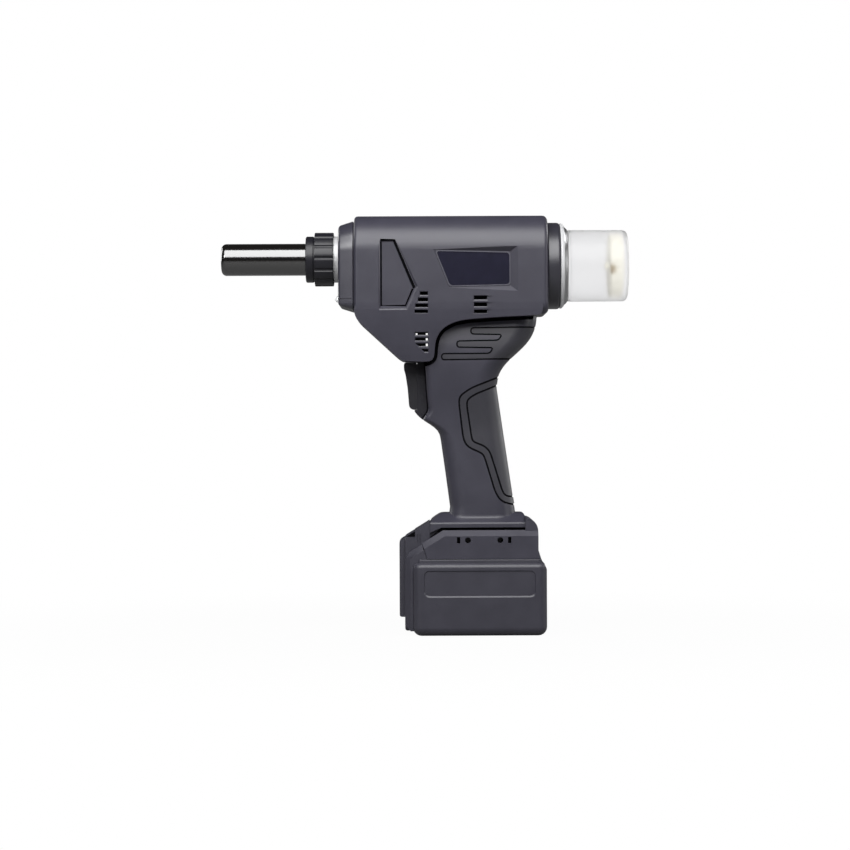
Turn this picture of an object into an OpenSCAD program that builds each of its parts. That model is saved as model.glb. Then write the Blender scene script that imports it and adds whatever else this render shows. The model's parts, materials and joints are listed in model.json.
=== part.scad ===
// Battery rivet tool: a pistol-grip puller with a motor, a planetary stage and a ball screw,
// a clear container for spent mandrels behind the head, and a slide-on battery under the grip.
// Millimetres, +Z up, nose towards -X, standing on its battery.

/* [Head] */
// Length of the barrel
barrel_len = 144.75; // [142:0.25:160]
// Height of the barrel
barrel_h = 74.8; // [72:0.2:82]
// Width of the barrel
barrel_w = 72; // [71:0.5:80]
// Radius of the barrel's upper edges
barrel_top_r = 27; // [22:0.5:28]
// Radius of the barrel's lower edges
barrel_low_r = 9; // [7:0.5:12]
// Height of the pulling axis above the middle of the barrel
axis_rise = 5.6; // [5:0.1:6]
// Wall of the moulded housing
wall = 3; // [2.6:0.1:3.2]
// Wall of the barrel's flat sides
side_wall = 6; // [5.4:0.1:6.2]
// Length of the front bezel
bezel_len = 12.75; // [11:0.25:16]
// How far the front of the bezel draws in from the barrel
bezel_draw = 6; // [4:0.5:7]
// Drop of the belly under the front of the barrel
belly_h = 34.5; // [32:0.5:37]
// Width of the belly's underside
belly_w = 60; // [54:1:66]

/* [Nose] */
// Diameter of the nose tube
nose_d = 23.6; // [22.5:0.1:26]
// Wall of the nose tube
nose_wall = 2.4; // [2:0.1:2.6]
// Free length of the nose tube ahead of the lock ring
nose_reach = 63.75; // [60:0.25:75]
// Diameter of the lock ring's front collar
collar_d = 34.8; // [32:0.2:38]
// Length of the lock ring's front collar
collar_len = 6.75; // [5:0.25:9]
// Diameter of the lock ring's fluted grip
lock_d = 40.5; // [39:0.5:46]
// Length of the lock ring's fluted grip
lock_len = 14.25; // [13:0.25:18]
// Number of flutes round the lock ring
flutes = 14; // [10:1:24]
// Length of the metal flange that shows behind the lock ring
flange_show = 3; // [2:0.25:5]
// Hole of the nosepiece
rivet_hole_d = 3.5; // [2.6:0.1:5]
// Rearward stroke of the pulling jaws
stroke = 25; // [18:1:25]

/* [Container] */
// Diameter of the black cap behind the barrel
cap_d = 64; // [60:1:68]
// Length of the black cap behind the barrel
cap_len = 9.75; // [8:0.25:13]
// Length of the metal ring in front of the container
cup_ring_len = 5.6; // [4:0.2:8]
// Diameter of the container
cup_d = 53.4; // [52:0.2:57]
// Length of the container behind its metal ring
cup_len = 45.4; // [40:0.2:60]
// Wall of the container
cup_wall = 2; // [1.6:0.1:2.4]

/* [Handle] */
// Height of the handle between the foot and the barrel
handle_h = 150; // [146:1:160]
// Distance from the front of the barrel to the front of the handle
hand_setback = 52.5; // [51:0.5:55]
// Length of the web where it meets the barrel
web_len = 84; // [82:0.5:88]
// Width of the web where it meets the barrel
web_w = 54; // [50:1:58]
// Depth of the grip
grip_depth = 47; // [45:0.5:50]
// Width of the grip
grip_w = 38; // [36:0.5:42]
// Backward lean of the grip, in degrees
grip_lean = 8; // [7:0.5:9]
// Thickness of the soft grip pads
pad_t = 2; // [1.5:0.1:2.4]
// Width of the trigger
trigger_w = 20; // [17:0.5:22]
// Travel of the trigger
trigger_travel = 6; // [4:0.5:6.5]

/* [Foot and battery] */
// Height of the foot's side rails
foot_h = 19; // [18:0.5:23]
// Height of the deck above the foot's side rails
deck_h = 13; // [11:0.5:16]
// Length of the foot
foot_len = 85.5; // [84:0.5:90]
// Width of the foot
foot_w = 66; // [64:0.5:70]
// Width of the deck
deck_w = 50; // [48:0.5:54]
// Slope of the foot's front, in degrees
foot_slope = 31.5; // [28:0.5:34]
// Height of the battery's case
case_h = 52; // [50:0.5:60]
// Thickness of the battery's lid
lid_t = 4.7; // [4.2:0.1:5.6]
// Length of the battery's case
case_len = 100.5; // [99:0.5:106]
// Width of the battery's case
case_w = 76; // [75:0.5:82]
// Wall of the battery's case
case_wall = 3; // [2.4:0.1:3]
// How far the battery's front panel stands ahead of the foot
panel_reach = 15; // [14:0.5:18]
// How far the front plate stands ahead of the panel
plate_t = 4.5; // [3.5:0.25:6]
// Diameter of one cell
cell_d = 18.2; // [17.8:0.1:18.4]
// Room at each end of the cells
cell_room = 2.5; // [2:0.1:4]
// Spacing of the belt-hook holes
hook_spacing = 24; // [20:0.5:30]
// Diameter of the belt-hook holes
hook_hole_d = 4.3; // [3.4:0.1:5]

/* [Hidden] */
$fn = 64;

// Overrun of cuts, running gap between moving pieces, and seat gap between fixed ones
over = 1;
gap = 0.3;
seat = 0.05;

// Places along the tool
overall = nose_reach + collar_len + lock_len + flange_show + bezel_len + barrel_len + cap_len
    + cup_ring_len + cup_len;
x_tip = -overall / 2;
x_collar = x_tip + nose_reach;
x_lock = x_collar + collar_len;
x_flange = x_lock + lock_len;
x_bezel = x_flange + flange_show;
x_barrel = x_bezel + bezel_len;
x_rear = x_barrel + barrel_len;
x_ring = x_rear + cap_len;
x_cup = x_ring + cup_ring_len;
x_end = x_cup + cup_len;
x_hand = x_barrel + hand_setback;

// Heights
z_seat = case_h + lid_t + gap;
z_rail = z_seat + foot_h;
z_deck = z_rail + deck_h;
z_low = z_deck + handle_h;
z_mid = z_low + barrel_h / 2;
z_axis = z_mid + axis_rise;

// Drive: a pair of spur gears and a planetary stage
spur_share = 0.01203;
spur_module = spur_share * barrel_h;
nut_teeth = 48;
pinion_teeth = 16;
planet_share = 0.611;
planet_module = planet_share * spur_module;
sun_teeth = 12;
planet_teeth = 21;
ring_teeth = sun_teeth + 2 * planet_teeth;
planet_count = 3;
pressure_angle = 20;
tooth_slack = 0.16;
tip_share = 0.85;
root_share = 1.2;
undercut_share = 0.8;
gear_w = 8;
centre_drop = spur_module * (nut_teeth + pinion_teeth) / 2;
orbit_r = planet_module * (sun_teeth + planet_teeth) / 2;
z_motor = z_axis - centre_drop;

// Pulling train
bore_r = nose_d / 2 - nose_wall;
puller_r = bore_r - gap;
nose_edge = 2.4;
thread_r = 6.5;
nose_head_t = 7;
jaw_setback = 22.4;
jaw_len = 14;
jaw_lip = 0.9;
jaw_mouth_r = 4.6;
jaw_taper = 0.15;
jaw_grip_r = 1.2;
jaw_split = 0.6;
jaw_chamber_r = 7.2;
jaw_case_len = 33;
tail_r = 4;
pusher_len = 10;
pusher_r = 4.5;
pusher_bore_r = 1.8;
jaw_spring_len = 13;
spring_wire = 0.9;
coupling_neck = 12;
coupling_len = 40;
spindle_r = 8;
spindle_bore_r = 3.4;
spindle_neck_r = 5.9;
spindle_neck = 10;
x_jaw = x_tip + jaw_setback;
x_jaw_case = x_jaw - jaw_lip;
x_pusher = x_jaw + jaw_len + gap;
x_jaw_spring = x_pusher + pusher_len;
x_coupling = x_jaw_case + jaw_case_len - coupling_neck;
x_coupling_end = x_coupling + coupling_len;
spindle_end_share = 0.655;
x_spindle_end = x_hand + spindle_end_share * web_len;
nose_flange_r = 15.5;
nose_flange_t = 4;
lock_front_t = 2;
flute_share = 0.2;
flute_start_share = 0.5;

// Gear case
snout_r = 16.5;
flange_lid_t = 3;
gear_room = 0.7;
gear_case_wall = 2;
case_room_r = spur_module * (nut_teeth / 2 + tip_share) + gear_room;
case_r = case_room_r + gear_case_wall;
plate_r = case_room_r;
pinion_room_r = spur_module * (pinion_teeth / 2 + tip_share) + gear_room;
lobe_r = pinion_room_r + gear_case_wall;
thrust_len = 6;
thrust_r = 16;
nut_len = 34;
nut_body_share = 0.602;
nut_r = nut_body_share * spur_module * nut_teeth / 2;
nut_tail_share = 0.846;
nut_tail_r = nut_tail_share * nut_r;
bearing_len = 8;
bearing_r = 19;
bearing_race_t = 2.05;
ball_r = 1.3;
ball_sink = 0.25;
ball_count = 12;
nut_gear_setback = 7.5;
case_end_t = 3;
lug_r = 3.2;
lug_reach = 2.2;
lug_len = 12;
case_screw_r = 1.5;
case_screw_len = 10;
shaft_r = 3;
shaft_boss_r = 6;
shaft_boss_len = 5;
x_case = x_barrel + flange_lid_t;
x_nut = x_case + thrust_len + gap;
x_nut_gear = x_nut + nut_gear_setback;
x_bearing = x_nut + nut_len - bearing_len;
x_case_end = x_nut + nut_len + gap;
x_stage = x_case_end + case_end_t;

// Planetary stage and motor
stage_wall = 3.2;
carrier_t = 4;
planet_pin_r = 1.4;
carrier_rim = 2;
carrier_r = orbit_r + planet_pin_r + carrier_rim;
carrier_room_r = carrier_r + 2 * gap;
planet_bore_r = 1.5;
stage_rim = 2.3;
stage_r = planet_module * (ring_teeth / 2 + root_share) + stage_rim;
block_r = 10;
motor_r = centre_drop - block_r - gap;
motor_len = 50;
motor_wall = 2;
motor_front_t = 3;
armature_len = 32;
magnet_t = 4.5;
magnet_gap = 1;
magnet_r = motor_r - motor_wall - magnet_t;
armature_r = magnet_r - magnet_gap;
rotor_shaft_r = 1.5;
shaft_bush_gap = 0.1;
bell_t = 4;
fan_len = 6;
fan_room = 2.5;
fan_r = motor_r - fan_room;
fan_hub_r = 4.5;
fan_disc_t = 1.2;
fan_blade_t = 1.2;
fan_blades = 9;
x_carrier = x_stage + stage_wall + gap;
x_planet = x_carrier + carrier_t + gap;
x_motor = x_planet + gear_w + 4 * gap;
x_armature = x_motor + motor_front_t + gear_w;
x_bell = x_motor + motor_len;
x_fan = x_bell + bell_t + fan_disc_t;
x_shaft_end = x_fan + fan_len;

// Guide and mandrel tube
block_len = 12;
key_w = 6;
key_h = 7;
rail_w = 11.5;
rail_len = block_len + stroke - 2 * gap;
tube_r = 3;
tube_wall = 0.5;
tube_overlap = 20;
x_block = x_spindle_end - block_len - key_w / 2;
x_rail = x_block - 2 * gap;

// Rear cap and container
cap_flange_t = 3;
cap_room = 0.8;
cap_flange_r = min(barrel_h / 2 - wall, barrel_w / 2 - side_wall) - cap_room;
cap_lip = 2.5;
cap_neck_r = cap_flange_r - cap_lip;
cup_spigot_r = 23.6;
cup_spigot_len = 9;
cup_draft = 0.5;
cup_edge = 4;
cup_ring_step = 0.5;
seal_wire_r = 0.8;
seal_setback = 4;
bumper_len = 12;
stud_r = 2.2;
stud_len = 3;

// Handle parts
side_reach = barrel_w;
lamp_r = 2.6;
lamp_len = 9;
lamp_show = 2.25;
lamp_drop = 30;
switch_len = 22;
switch_h = 30;
switch_w = 26;
web_round_r = 18;
grip_round_r = 17;
cap_edge = 2;
bell_hole_r = 3;
stem_r = 3;
stem_len = 11;
trigger_spring_r = 4.4;
trigger_depth = 21;
board_t = 1.6;
wire_r = 1.3;
wire_spread = 4;
screw_r = 1.5;
screw_head_r = 3;
screw_head_t = 2.6;
screw_seat = 8;
screw_len = 18;
boss_r = 4.4;
pocket_depth = 3;
name_plate_t = 1.2;
name_plate_depth = 2;
slot_h = 2.5;
seam_groove = 0.8;
hook_depth = 8;
hook_rise = 14;
hook_slot_w = 2.4;
hook_slot_h = 4.6;
hook_slot_depth = 3;
hook_slot_offset = 7;
hook_share = 0.517;
grip_len_share = 0.77;
grip_len = grip_len_share * handle_h;
foot_flare = 2;
foot_round = 8.5;
slope_drop = 8.5;

// Battery rail, terminals, board and latch
rail_neck_w = 43;
rail_head_w = 53;
rail_lip = 2.5;
rail_head_h = 3.2;
room_w = 44;
blade_t = 1;
blade_len = 16;
blade_spread = 9;
fork_w = 6;
fork_slit = 2;
block_h = 8.4;
case_corner_r = 8;
case_foot_inset = 2;
case_foot_h = 4;
lid_inset = 3;
cheek_drop = 14.5;
panel_w = 50;
cheek_w = 66;
panel_lift = 3.5;
plate_w = 44;
plate_low = 13.5;
holder_w = 44;
holder_h = 21;
cell_lift = 10;
cell_pitch = cell_d + gap / 2 + seat;
cell_len = case_w - 2 * (case_wall + cell_room);
latch_w = 24;
latch_lift = 61;
latch_travel = 4;
latch_reach = 12.5;
tongue_t = 3.4;
tongue_w = 16;
tongue_len = 3;
well_r = 2.3;
well_depth = 18;
well_share = 0.2;

// Outline shares: web front edge, web back curve, belly, pockets, pads and vents
web_front_shares = [[0.006, 1.05], [0.006, 0.76], [0.024, 0.507], [0, 0.477], [0.03, 0.46],
    [0.107, 0.43], [0.138, 0.395], [0.15, 0.34], [0.6, 0.34]];
web_back_shares = [[0.643, 0.64], [0.643, 0.82], [1, 0.84], [1, 1]];
web_curve_steps = 12;
belly_shares = [[0, -0.26], [0, 0.02], [0.03, 0.12], [0.66, 0.955], [0.7, 0.985], [1.03, 1],
    [1.09, 0.96], [1.15, 0.7], [1.2, 0.5], [1.3, 0.3], [1.44, 0.16], [1.64, 0.1], [1.64, -0.26]];
belly_room_shares = [[0.12, -0.2], [0.12, 0.1], [0.72, 0.86], [1.06, 0.86], [1.06, -0.2]];
pocket_shares = [[0.13, 0.277], [0.205, 0.277], [0.318, -0.21], [0.268, -0.42], [0.13, -0.42]];
plate_shares = [[0.424, 0.15], [0.806, 0.15], [0.806, -0.168], [0.497, -0.168]];
recess_shares = [[0.418, 0.158], [0.812, 0.158], [0.812, -0.176], [0.493, -0.176]];
side_vent_shares = [[0.34, 0.376, -0.267], [0.33, 0.376, -0.33], [0.316, 0.376, -0.392],
    [0.313, 0.376, -0.452]];
rear_vent_shares = [[0.62, 0.688, -0.31], [0.62, 0.688, -0.377], [0.62, 0.688, -0.446]];
belly_vent_shares = [[0.86, 1.04, 0.37], [0.86, 1.04, 0.49], [0.885, 1.04, 0.6], [0.97, 1.04, 0.715]];
grip_pad_shares = [[0.95, 0.687], [0.643, 0.687], [0.405, 0.635], [0.33, 0.6], [0.307, 0.577],
    [0.312, 0.517], [0.345, 0.377], [0.383, 0.34], [0.524, 0.3], [0.643, 0.096], [0.696, 0.057],
    [0.95, 0.045]];
finger_shares = [[0.418, 0.926], [0.29, 0.86], [0.155, 0.795]];
finger_share = 0.031;
finger_end_share = 0.7;
pad_back_shares = [[0.69, 0.957], [0.66, 0.926], [0.6, 0.795], [0.63, 0.764], [1.1, 0.764], [1.1, 0.957]];
barrel_screw_shares = [[0.922, 0.356], [0.915, -0.38]];
hand_screw_shares = [[0.738, 0.88], [0.548, 0.713], [0.571, 0.34], [0.619, 0.087], [0.94, -0.113],
    [-0.262, 0.867]];
trigger_shares = [[0.006, 0.757], [-0.07, 0.757], [-0.07, 0.52], [-0.07, 0.502], [-0.02, 0.482],
    [0.006, 0.487], [0.04, 0.52], [0.04, 0.757]];
trigger_pad_shares = [[-0.07, 0.757], [-0.187, 0.762], [-0.187, 0.74], [-0.165, 0.67], [-0.147, 0.57],
    [-0.137, 0.532], [-0.11, 0.524], [-0.07, 0.524]];
trigger_top_share = 0.762;
trigger_gap = 1.2;
trigger_room_shares = [0.475, 0.77];
switch_shares = [0.167, 0.53];
grip_centre_share = 0.527;
web_neck_share = 0.527;
board_shares = [0.16, 0.82];
terminal_shares = [0.48, 0.86];
blade_share = 0.53;
foot_rail_shares = [0.035, 0.94];
wire_shares = [0.52, 0.34, 0.33, 0.42];

// Point at shares of the handle, of the barrel, and of the belly
function hand_z(t) = t < trigger_top_share
    ? z_deck + t / trigger_top_share * (handle_h - belly_h - trigger_gap)
    : z_low - (1 - t) / (1 - trigger_top_share) * (belly_h + trigger_gap);
function hand_pt(s) = [x_hand + s[0] * web_len, hand_z(s[1])];
function barrel_pt(s) = [x_barrel + s[0] * barrel_len, z_mid + s[1] * barrel_h];
function belly_pt(s) = [x_barrel + s[0] * hand_setback, z_low - s[1] * belly_h];
function curve_pt(p, t) = p[0] * pow(1 - t, 3) + 3 * p[1] * t * pow(1 - t, 2)
    + 3 * p[2] * t * t * (1 - t) + p[3] * pow(t, 3);
function web_back() = [for (i = [0 : web_curve_steps])
    hand_pt(curve_pt(web_back_shares, i / web_curve_steps))];

// Solids that lie along X or Y
module along_x(x, len) {
    translate([x, 0, 0]) rotate([90, 0, 90]) linear_extrude(len) children();
}
module along_y(half) {
    rotate([90, 0, 0]) translate([0, 0, -half]) linear_extrude(2 * half) children();
}
module x_cyl(x, len, r, z) {
    translate([x, 0, z]) rotate([0, 90, 0]) cylinder(h = len, r = r);
}
module x_cone(x, len, r1, r2, z) {
    translate([x, 0, z]) rotate([0, 90, 0]) cylinder(h = len, r1 = r1, r2 = r2);
}
module x_ring(x, len, r_out, r_in, z) {
    difference() {
        x_cyl(x, len, r_out, z);
        x_cyl(x - over, len + 2 * over, r_in, z);
    }
}
module x_torus(x, big_r, r, z) {
    translate([x, 0, z]) rotate([0, 90, 0]) rotate_extrude() translate([big_r, 0]) circle(r);
}
module y_cyl(p, y, len, r) {
    translate([p[0], y, p[1]]) rotate([-90, 0, 0]) cylinder(h = len, r = r);
}
module box(x, half_w, z, len, h) {
    translate([x, -half_w, z]) cube([len, 2 * half_w, h]);
}
module rod(p, q, r) {
    d = q - p;
    translate(p) rotate([0, acos(d[2] / norm(d)), atan2(d[1], d[0])]) cylinder(h = norm(d), r = r);
}
module rounded_rect(w, h, r) {
    square([w - 2 * r, h], center = true);
    square([w, h - 2 * r], center = true);
    for (sx = [-1, 1], sy = [-1, 1])
        translate([sx * (w / 2 - r), sy * (h / 2 - r)]) circle(r);
}

// Spring wire wound as one open tube
coil_sides = 6;
coil_steps = 12;
function coil_ring(x, a, r, wire_r) = [for (k = [0 : coil_sides - 1])
    let (b = 360 * k / coil_sides)
    [x + wire_r * sin(b), (r + wire_r * cos(b)) * cos(a), (r + wire_r * cos(b)) * sin(a)]];
module coil(x, z, len, r, wire, turns) {
    count = turns * coil_steps;
    rise = len - wire;
    rings = [for (i = [0 : count])
        each coil_ring(wire / 2 + rise * i / count, 360 * i / coil_steps, r, wire / 2)];
    sides = [for (i = [0 : count - 1], k = [0 : coil_sides - 1])
        let (a = i * coil_sides + k, b = i * coil_sides + (k + 1) % coil_sides)
        each [[a, b, a + coil_sides], [b, b + coil_sides, a + coil_sides]]];
    caps = [for (k = [1 : coil_sides - 2])
        each [[0, k + 1, k], count * coil_sides * [1, 1, 1] + [0, k, k + 1]]];
    echo(least_gap_between_turns = rise / turns - wire);
    translate([x, 0, z]) polyhedron(rings, concat(sides, caps));
}

// Involute gear outline between two radii, with its first tooth on the first axis
function involute(a) = tan(a) - a * PI / 180;
function half_tooth(r, teeth, m, slack) =
    let (pitch_r = m * teeth / 2, base_r = pitch_r * cos(pressure_angle))
    180 / PI * ((PI * m / 2 - slack) / (2 * pitch_r) + involute(pressure_angle)
        - involute(r <= base_r ? 0 : acos(base_r / r)));
module gear_2d(teeth, m, r_in, r_out, slack, root) {
    base_r = m * teeth / 2 * cos(pressure_angle);
    start_r = max(r_in, base_r);
    flank = [for (i = [0 : 4]) start_r + (r_out - start_r) * i / 4];
    foot = r_in < base_r ? [[r_in, root * half_tooth(base_r, teeth, m, slack)]] : [];
    side = concat(foot, [for (r = flank) [r, half_tooth(r, teeth, m, slack)]]);
    last = len(side) - 1;
    polygon([for (k = [0 : teeth - 1], i = [0 : 2 * last + 1])
        let (s = i <= last ? side[i] : side[2 * last + 1 - i],
            a = 360 * k / teeth + (i <= last ? -s[1] : s[1]))
        s[0] * [cos(a), sin(a)]]);
}
module spur(teeth, m, x, z, len) {
    translate([0, 0, z]) along_x(x, len)
        gear_2d(teeth, m, m * (teeth / 2 - root_share), m * (teeth / 2 + tip_share), tooth_slack,
            undercut_share);
}

// Outer forms of the housing
module barrel_section(side_inset, end_inset) {
    w = barrel_w / 2 - side_inset;
    h = barrel_h / 2 - end_inset;
    top_r = barrel_top_r - end_inset;
    low_r = barrel_low_r - end_inset;
    translate([0, z_mid]) {
        translate([top_r - w, low_r - h]) square([2 * (w - top_r), 2 * h - low_r]);
        translate([-w, low_r - h]) square([2 * w, 2 * h - low_r - top_r]);
        translate([low_r - w, -h]) square([2 * (w - low_r), h]);
        for (s = [-1, 1]) {
            translate([s * (w - top_r), h - top_r]) circle(top_r);
            translate([s * (w - low_r), low_r - h]) circle(low_r);
        }
    }
}
// The belly is as wide as the barrel at its top and narrows downwards
module belly_solid(shares, inset) {
    z_top = z_low + barrel_low_r;
    intersection() {
        along_y(barrel_w) polygon([for (s = shares) belly_pt(s)]);
        along_x(x_barrel - over, barrel_len)
            polygon([[inset - barrel_w / 2, z_top], [barrel_w / 2 - inset, z_top],
                [belly_w / 2 - inset, z_low - belly_h], [inset - belly_w / 2, z_low - belly_h]]);
    }
}
// The web narrows downwards and its back edges are rounded
module web_solid(inset) {
    back = web_back();
    mean = back[web_curve_steps] - back[0];
    intersection() {
        along_y(web_w)
            polygon(concat([for (s = web_front_shares) hand_pt(s)], [for (p = back) p - [inset, 0]],
                [back[web_curve_steps] - [inset, -wall]]));
        along_x(x_hand - over, web_len + 2 * over)
            polygon([[inset - web_w / 2, z_low + wall], [web_w / 2 - inset, z_low + wall],
                [grip_w / 2 - inset, hand_z(web_neck_share)],
                [grip_w / 2 - inset, z_deck], [inset - grip_w / 2, z_deck],
                [inset - grip_w / 2, hand_z(web_neck_share)]]);
        translate([back[web_curve_steps][0] - inset, 0, z_low])
            rotate([0, atan2(mean[0], mean[1]), 0])
            translate([-web_len, 0, -handle_h])
            linear_extrude(2 * handle_h)
            rounded_rect(2 * web_len, web_w + wall - 2 * inset, web_round_r);
    }
}
module grip_solid(inset, low, len) {
    translate([x_hand + grip_centre_share * web_len, 0, z_deck]) rotate([0, -grip_lean, 0])
        translate([0, 0, -low]) linear_extrude(low + len)
        rounded_rect(grip_depth - 2 * inset, grip_w - 2 * inset, grip_round_r - inset);
}
module foot_outline(top, drop) {
    difference() {
        polygon([[x_hand, z_seat], [x_hand + foot_len + foot_flare, z_seat],
            [x_hand + foot_len, z_seat + foot_h / 3], [x_hand + foot_len, top - foot_round],
            [x_hand + foot_len - foot_round, top], [x_hand, top]]);
        polygon([[x_hand - over, top - drop - over * tan(foot_slope)],
            [x_hand + drop / tan(foot_slope) + over, top + over * tan(foot_slope)],
            [x_hand - over, top + over * tan(foot_slope)]]);
    }
    translate([x_hand + foot_len - foot_round, top - foot_round]) circle(foot_round);
}
module foot_solid() {
    along_y(deck_w / 2) foot_outline(z_deck, slope_drop);
    along_y(foot_w / 2) foot_outline(z_rail, slope_drop);
}
module housing_solid() {
    along_x(x_barrel, barrel_len) barrel_section(0, 0);
    belly_solid(belly_shares, 0);
    web_solid(0);
    grip_solid(0, deck_h / 2, grip_len);
    foot_solid();
}

// Rooms inside the housing
rail_room_h = rail_lip + rail_head_h + 2 * gap;
module foot_room() {
    x = x_hand + foot_rail_shares[0] * foot_len;
    len = (foot_rail_shares[1] - foot_rail_shares[0]) * foot_len;
    slope_run = slope_drop / tan(foot_slope);
    box(x, room_w / 2, z_seat - over, len, over + z_deck - slope_drop - wall - z_seat);
    box(x + slope_run, room_w / 2, z_seat, len - slope_run, z_deck - wall - z_seat);
    box(x_hand - over, rail_neck_w / 2 + 2 * gap, z_seat - over, x - x_hand + 2 * over,
        rail_room_h + over);
    box(x_hand - over, rail_head_w / 2 + gap, z_seat + rail_lip, len + x - x_hand + over,
        rail_room_h - rail_lip);
    box(x_hand - over, tongue_w / 2 + gap, z_seat + rail_lip, x - x_hand + 2 * over,
        latch_lift + 2 * tongue_t - z_seat - rail_lip + gap);
}
module housing_room() {
    along_x(x_barrel - over, barrel_len - wall + over) barrel_section(side_wall, wall);
    x_cyl(x_rear - wall - over, wall + 2 * over, cap_neck_r + gap, z_mid);
    belly_solid(belly_room_shares, wall);
    x_cyl(x_stage - over, x_motor - x_stage + over, stage_r + seat, z_motor);
    x_cyl(x_motor - over, x_shaft_end + 2 * over - x_motor, motor_r + seat, z_motor);
    grip_solid(pad_t + wall, deck_h, handle_h + wall);
    foot_room();
    box(x_hand - trigger_depth / 3, trigger_w / 2 + gap, hand_z(trigger_room_shares[0]),
        trigger_depth, hand_z(trigger_room_shares[1]) - hand_z(trigger_room_shares[0]));
    box(hand_pt(switch_shares)[0] - over, switch_w / 2 + seat, hand_pt(switch_shares)[1] - seat,
        switch_len + 2 * over, switch_h + 2 * seat);
}

// Screws that hold the two halves, all entered from the right
function screw_places() = concat([for (s = barrel_screw_shares) barrel_pt(s)],
    [for (s = hand_screw_shares) hand_pt(s)]);
module screw_bosses() {
    intersection() {
        union() {
            along_x(x_barrel + wall, barrel_len - 2 * wall) barrel_section(side_wall / 2, wall / 2);
            belly_solid(belly_room_shares, wall / 2);
            grip_solid(pad_t + wall / 2, 0, grip_len);
        }
        for (p = screw_places()) y_cyl(p, -barrel_w, 2 * barrel_w, boss_r);
    }
}
module screw_holes() {
    for (p = screw_places()) {
        y_cyl(p, screw_seat - screw_len - over, screw_len + 2 * over, screw_r + seat);
        y_cyl(p, screw_seat, barrel_w, screw_head_r + gap);
    }
}
module housing_screws() {
    color("dimgray") for (p = screw_places()) difference() {
        union() {
            y_cyl(p, screw_seat - screw_len, screw_len, screw_r);
            y_cyl(p, screw_seat, screw_head_t, screw_head_r);
        }
        translate([p[0], screw_seat + screw_head_t / 2, p[1]]) rotate([-90, 0, 0])
            cylinder(h = screw_head_t, r = screw_r, $fn = 6);
    }
}

// Recesses and openings in the housing's sides
module vents(shares, is_belly) {
    for (s = shares) {
        p = is_belly ? belly_pt([s[0], s[2]]) : barrel_pt([s[0], s[2]]);
        len = (s[1] - s[0]) * (is_belly ? hand_setback : barrel_len);
        box(p[0], side_reach, p[1] - slot_h / 2, len, slot_h);
    }
}
module both_sides(depth_from) {
    for (s = [0, 1]) mirror([0, s, 0])
        translate([0, -depth_from - side_reach / 2, 0]) along_y(side_reach / 2) children();
}
module grip_pad_outline() {
    polygon([for (s = grip_pad_shares) hand_pt(s)]);
}
module web_pad_outline() {
    r = finger_share * handle_h / 2;
    polygon([for (s = pad_back_shares) hand_pt(s)]);
    for (s = finger_shares) {
        p = hand_pt(s);
        translate([p[0] + r, p[1] + r]) circle(r);
        translate([p[0] + r, p[1]]) square([(finger_end_share - s[0]) * web_len, 2 * r]);
    }
}
module grip_pad_room() {
    difference() {
        along_y(web_w) grip_pad_outline();
        grip_solid(pad_t + seat, deck_h / 2, grip_len);
    }
}
module web_pad_room() {
    difference() {
        along_y(web_w) web_pad_outline();
        web_solid(pad_t + seat);
    }
}
module hook_holes() {
    for (side = [0, 1]) mirror([0, side, 0]) for (s = [-1, 1]) {
        x = x_hand + hook_share * foot_len + s * hook_spacing / 2;
        y_cyl([x, z_seat + hook_rise], -foot_w / 2 - over, hook_depth + over, hook_hole_d / 2);
        translate([x + s * hook_slot_offset - hook_slot_w / 2, -foot_w / 2 - over,
            z_seat + hook_rise - hook_slot_h / 2])
            cube([hook_slot_w, hook_slot_depth + over, hook_slot_h]);
    }
}
module housing() {
    difference() {
        union() {
            difference() {
                housing_solid();
                housing_room();
            }
            screw_bosses();
        }
        screw_holes();
        vents(side_vent_shares, false);
        vents(rear_vent_shares, false);
        vents(belly_vent_shares, true);
        both_sides(barrel_w / 2 - pocket_depth) polygon([for (s = pocket_shares) barrel_pt(s)]);
        both_sides(barrel_w / 2 - name_plate_depth) polygon([for (s = recess_shares) barrel_pt(s)]);
        grip_pad_room();
        web_pad_room();
        hook_holes();
    }
}
module housing_left() {
    color("#3b3a41") intersection() {
        housing();
        translate([x_tip, -side_reach, 0]) cube([overall, side_reach, z_mid + barrel_h]);
    }
}
module housing_right() {
    color("#3b3a41") intersection() {
        housing();
        translate([x_tip, 0, 0]) cube([overall, side_reach, z_mid + barrel_h]);
    }
}
module grip_pad() {
    color("#2e2d33") difference() {
        intersection() {
            grip_solid(0, deck_h / 2, grip_len);
            along_y(web_w) translate([seam_groove, 0]) grip_pad_outline();
        }
        grip_solid(pad_t, deck_h, grip_len + deck_h);
    }
}
module web_pad() {
    color("#2e2d33") difference() {
        intersection() {
            web_solid(0);
            along_y(web_w) intersection() {
                translate([seam_groove / 2, seam_groove / 2]) web_pad_outline();
                translate([seam_groove / 2, -seam_groove / 2]) web_pad_outline();
            }
        }
        web_solid(pad_t);
    }
}
module name_plates() {
    color("#15161c") for (s = [0, 1]) mirror([0, s, 0])
        translate([0, name_plate_depth - (barrel_w + name_plate_t) / 2, 0]) along_y(name_plate_t / 2)
        polygon([for (p = plate_shares) barrel_pt(p)]);
}

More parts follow.
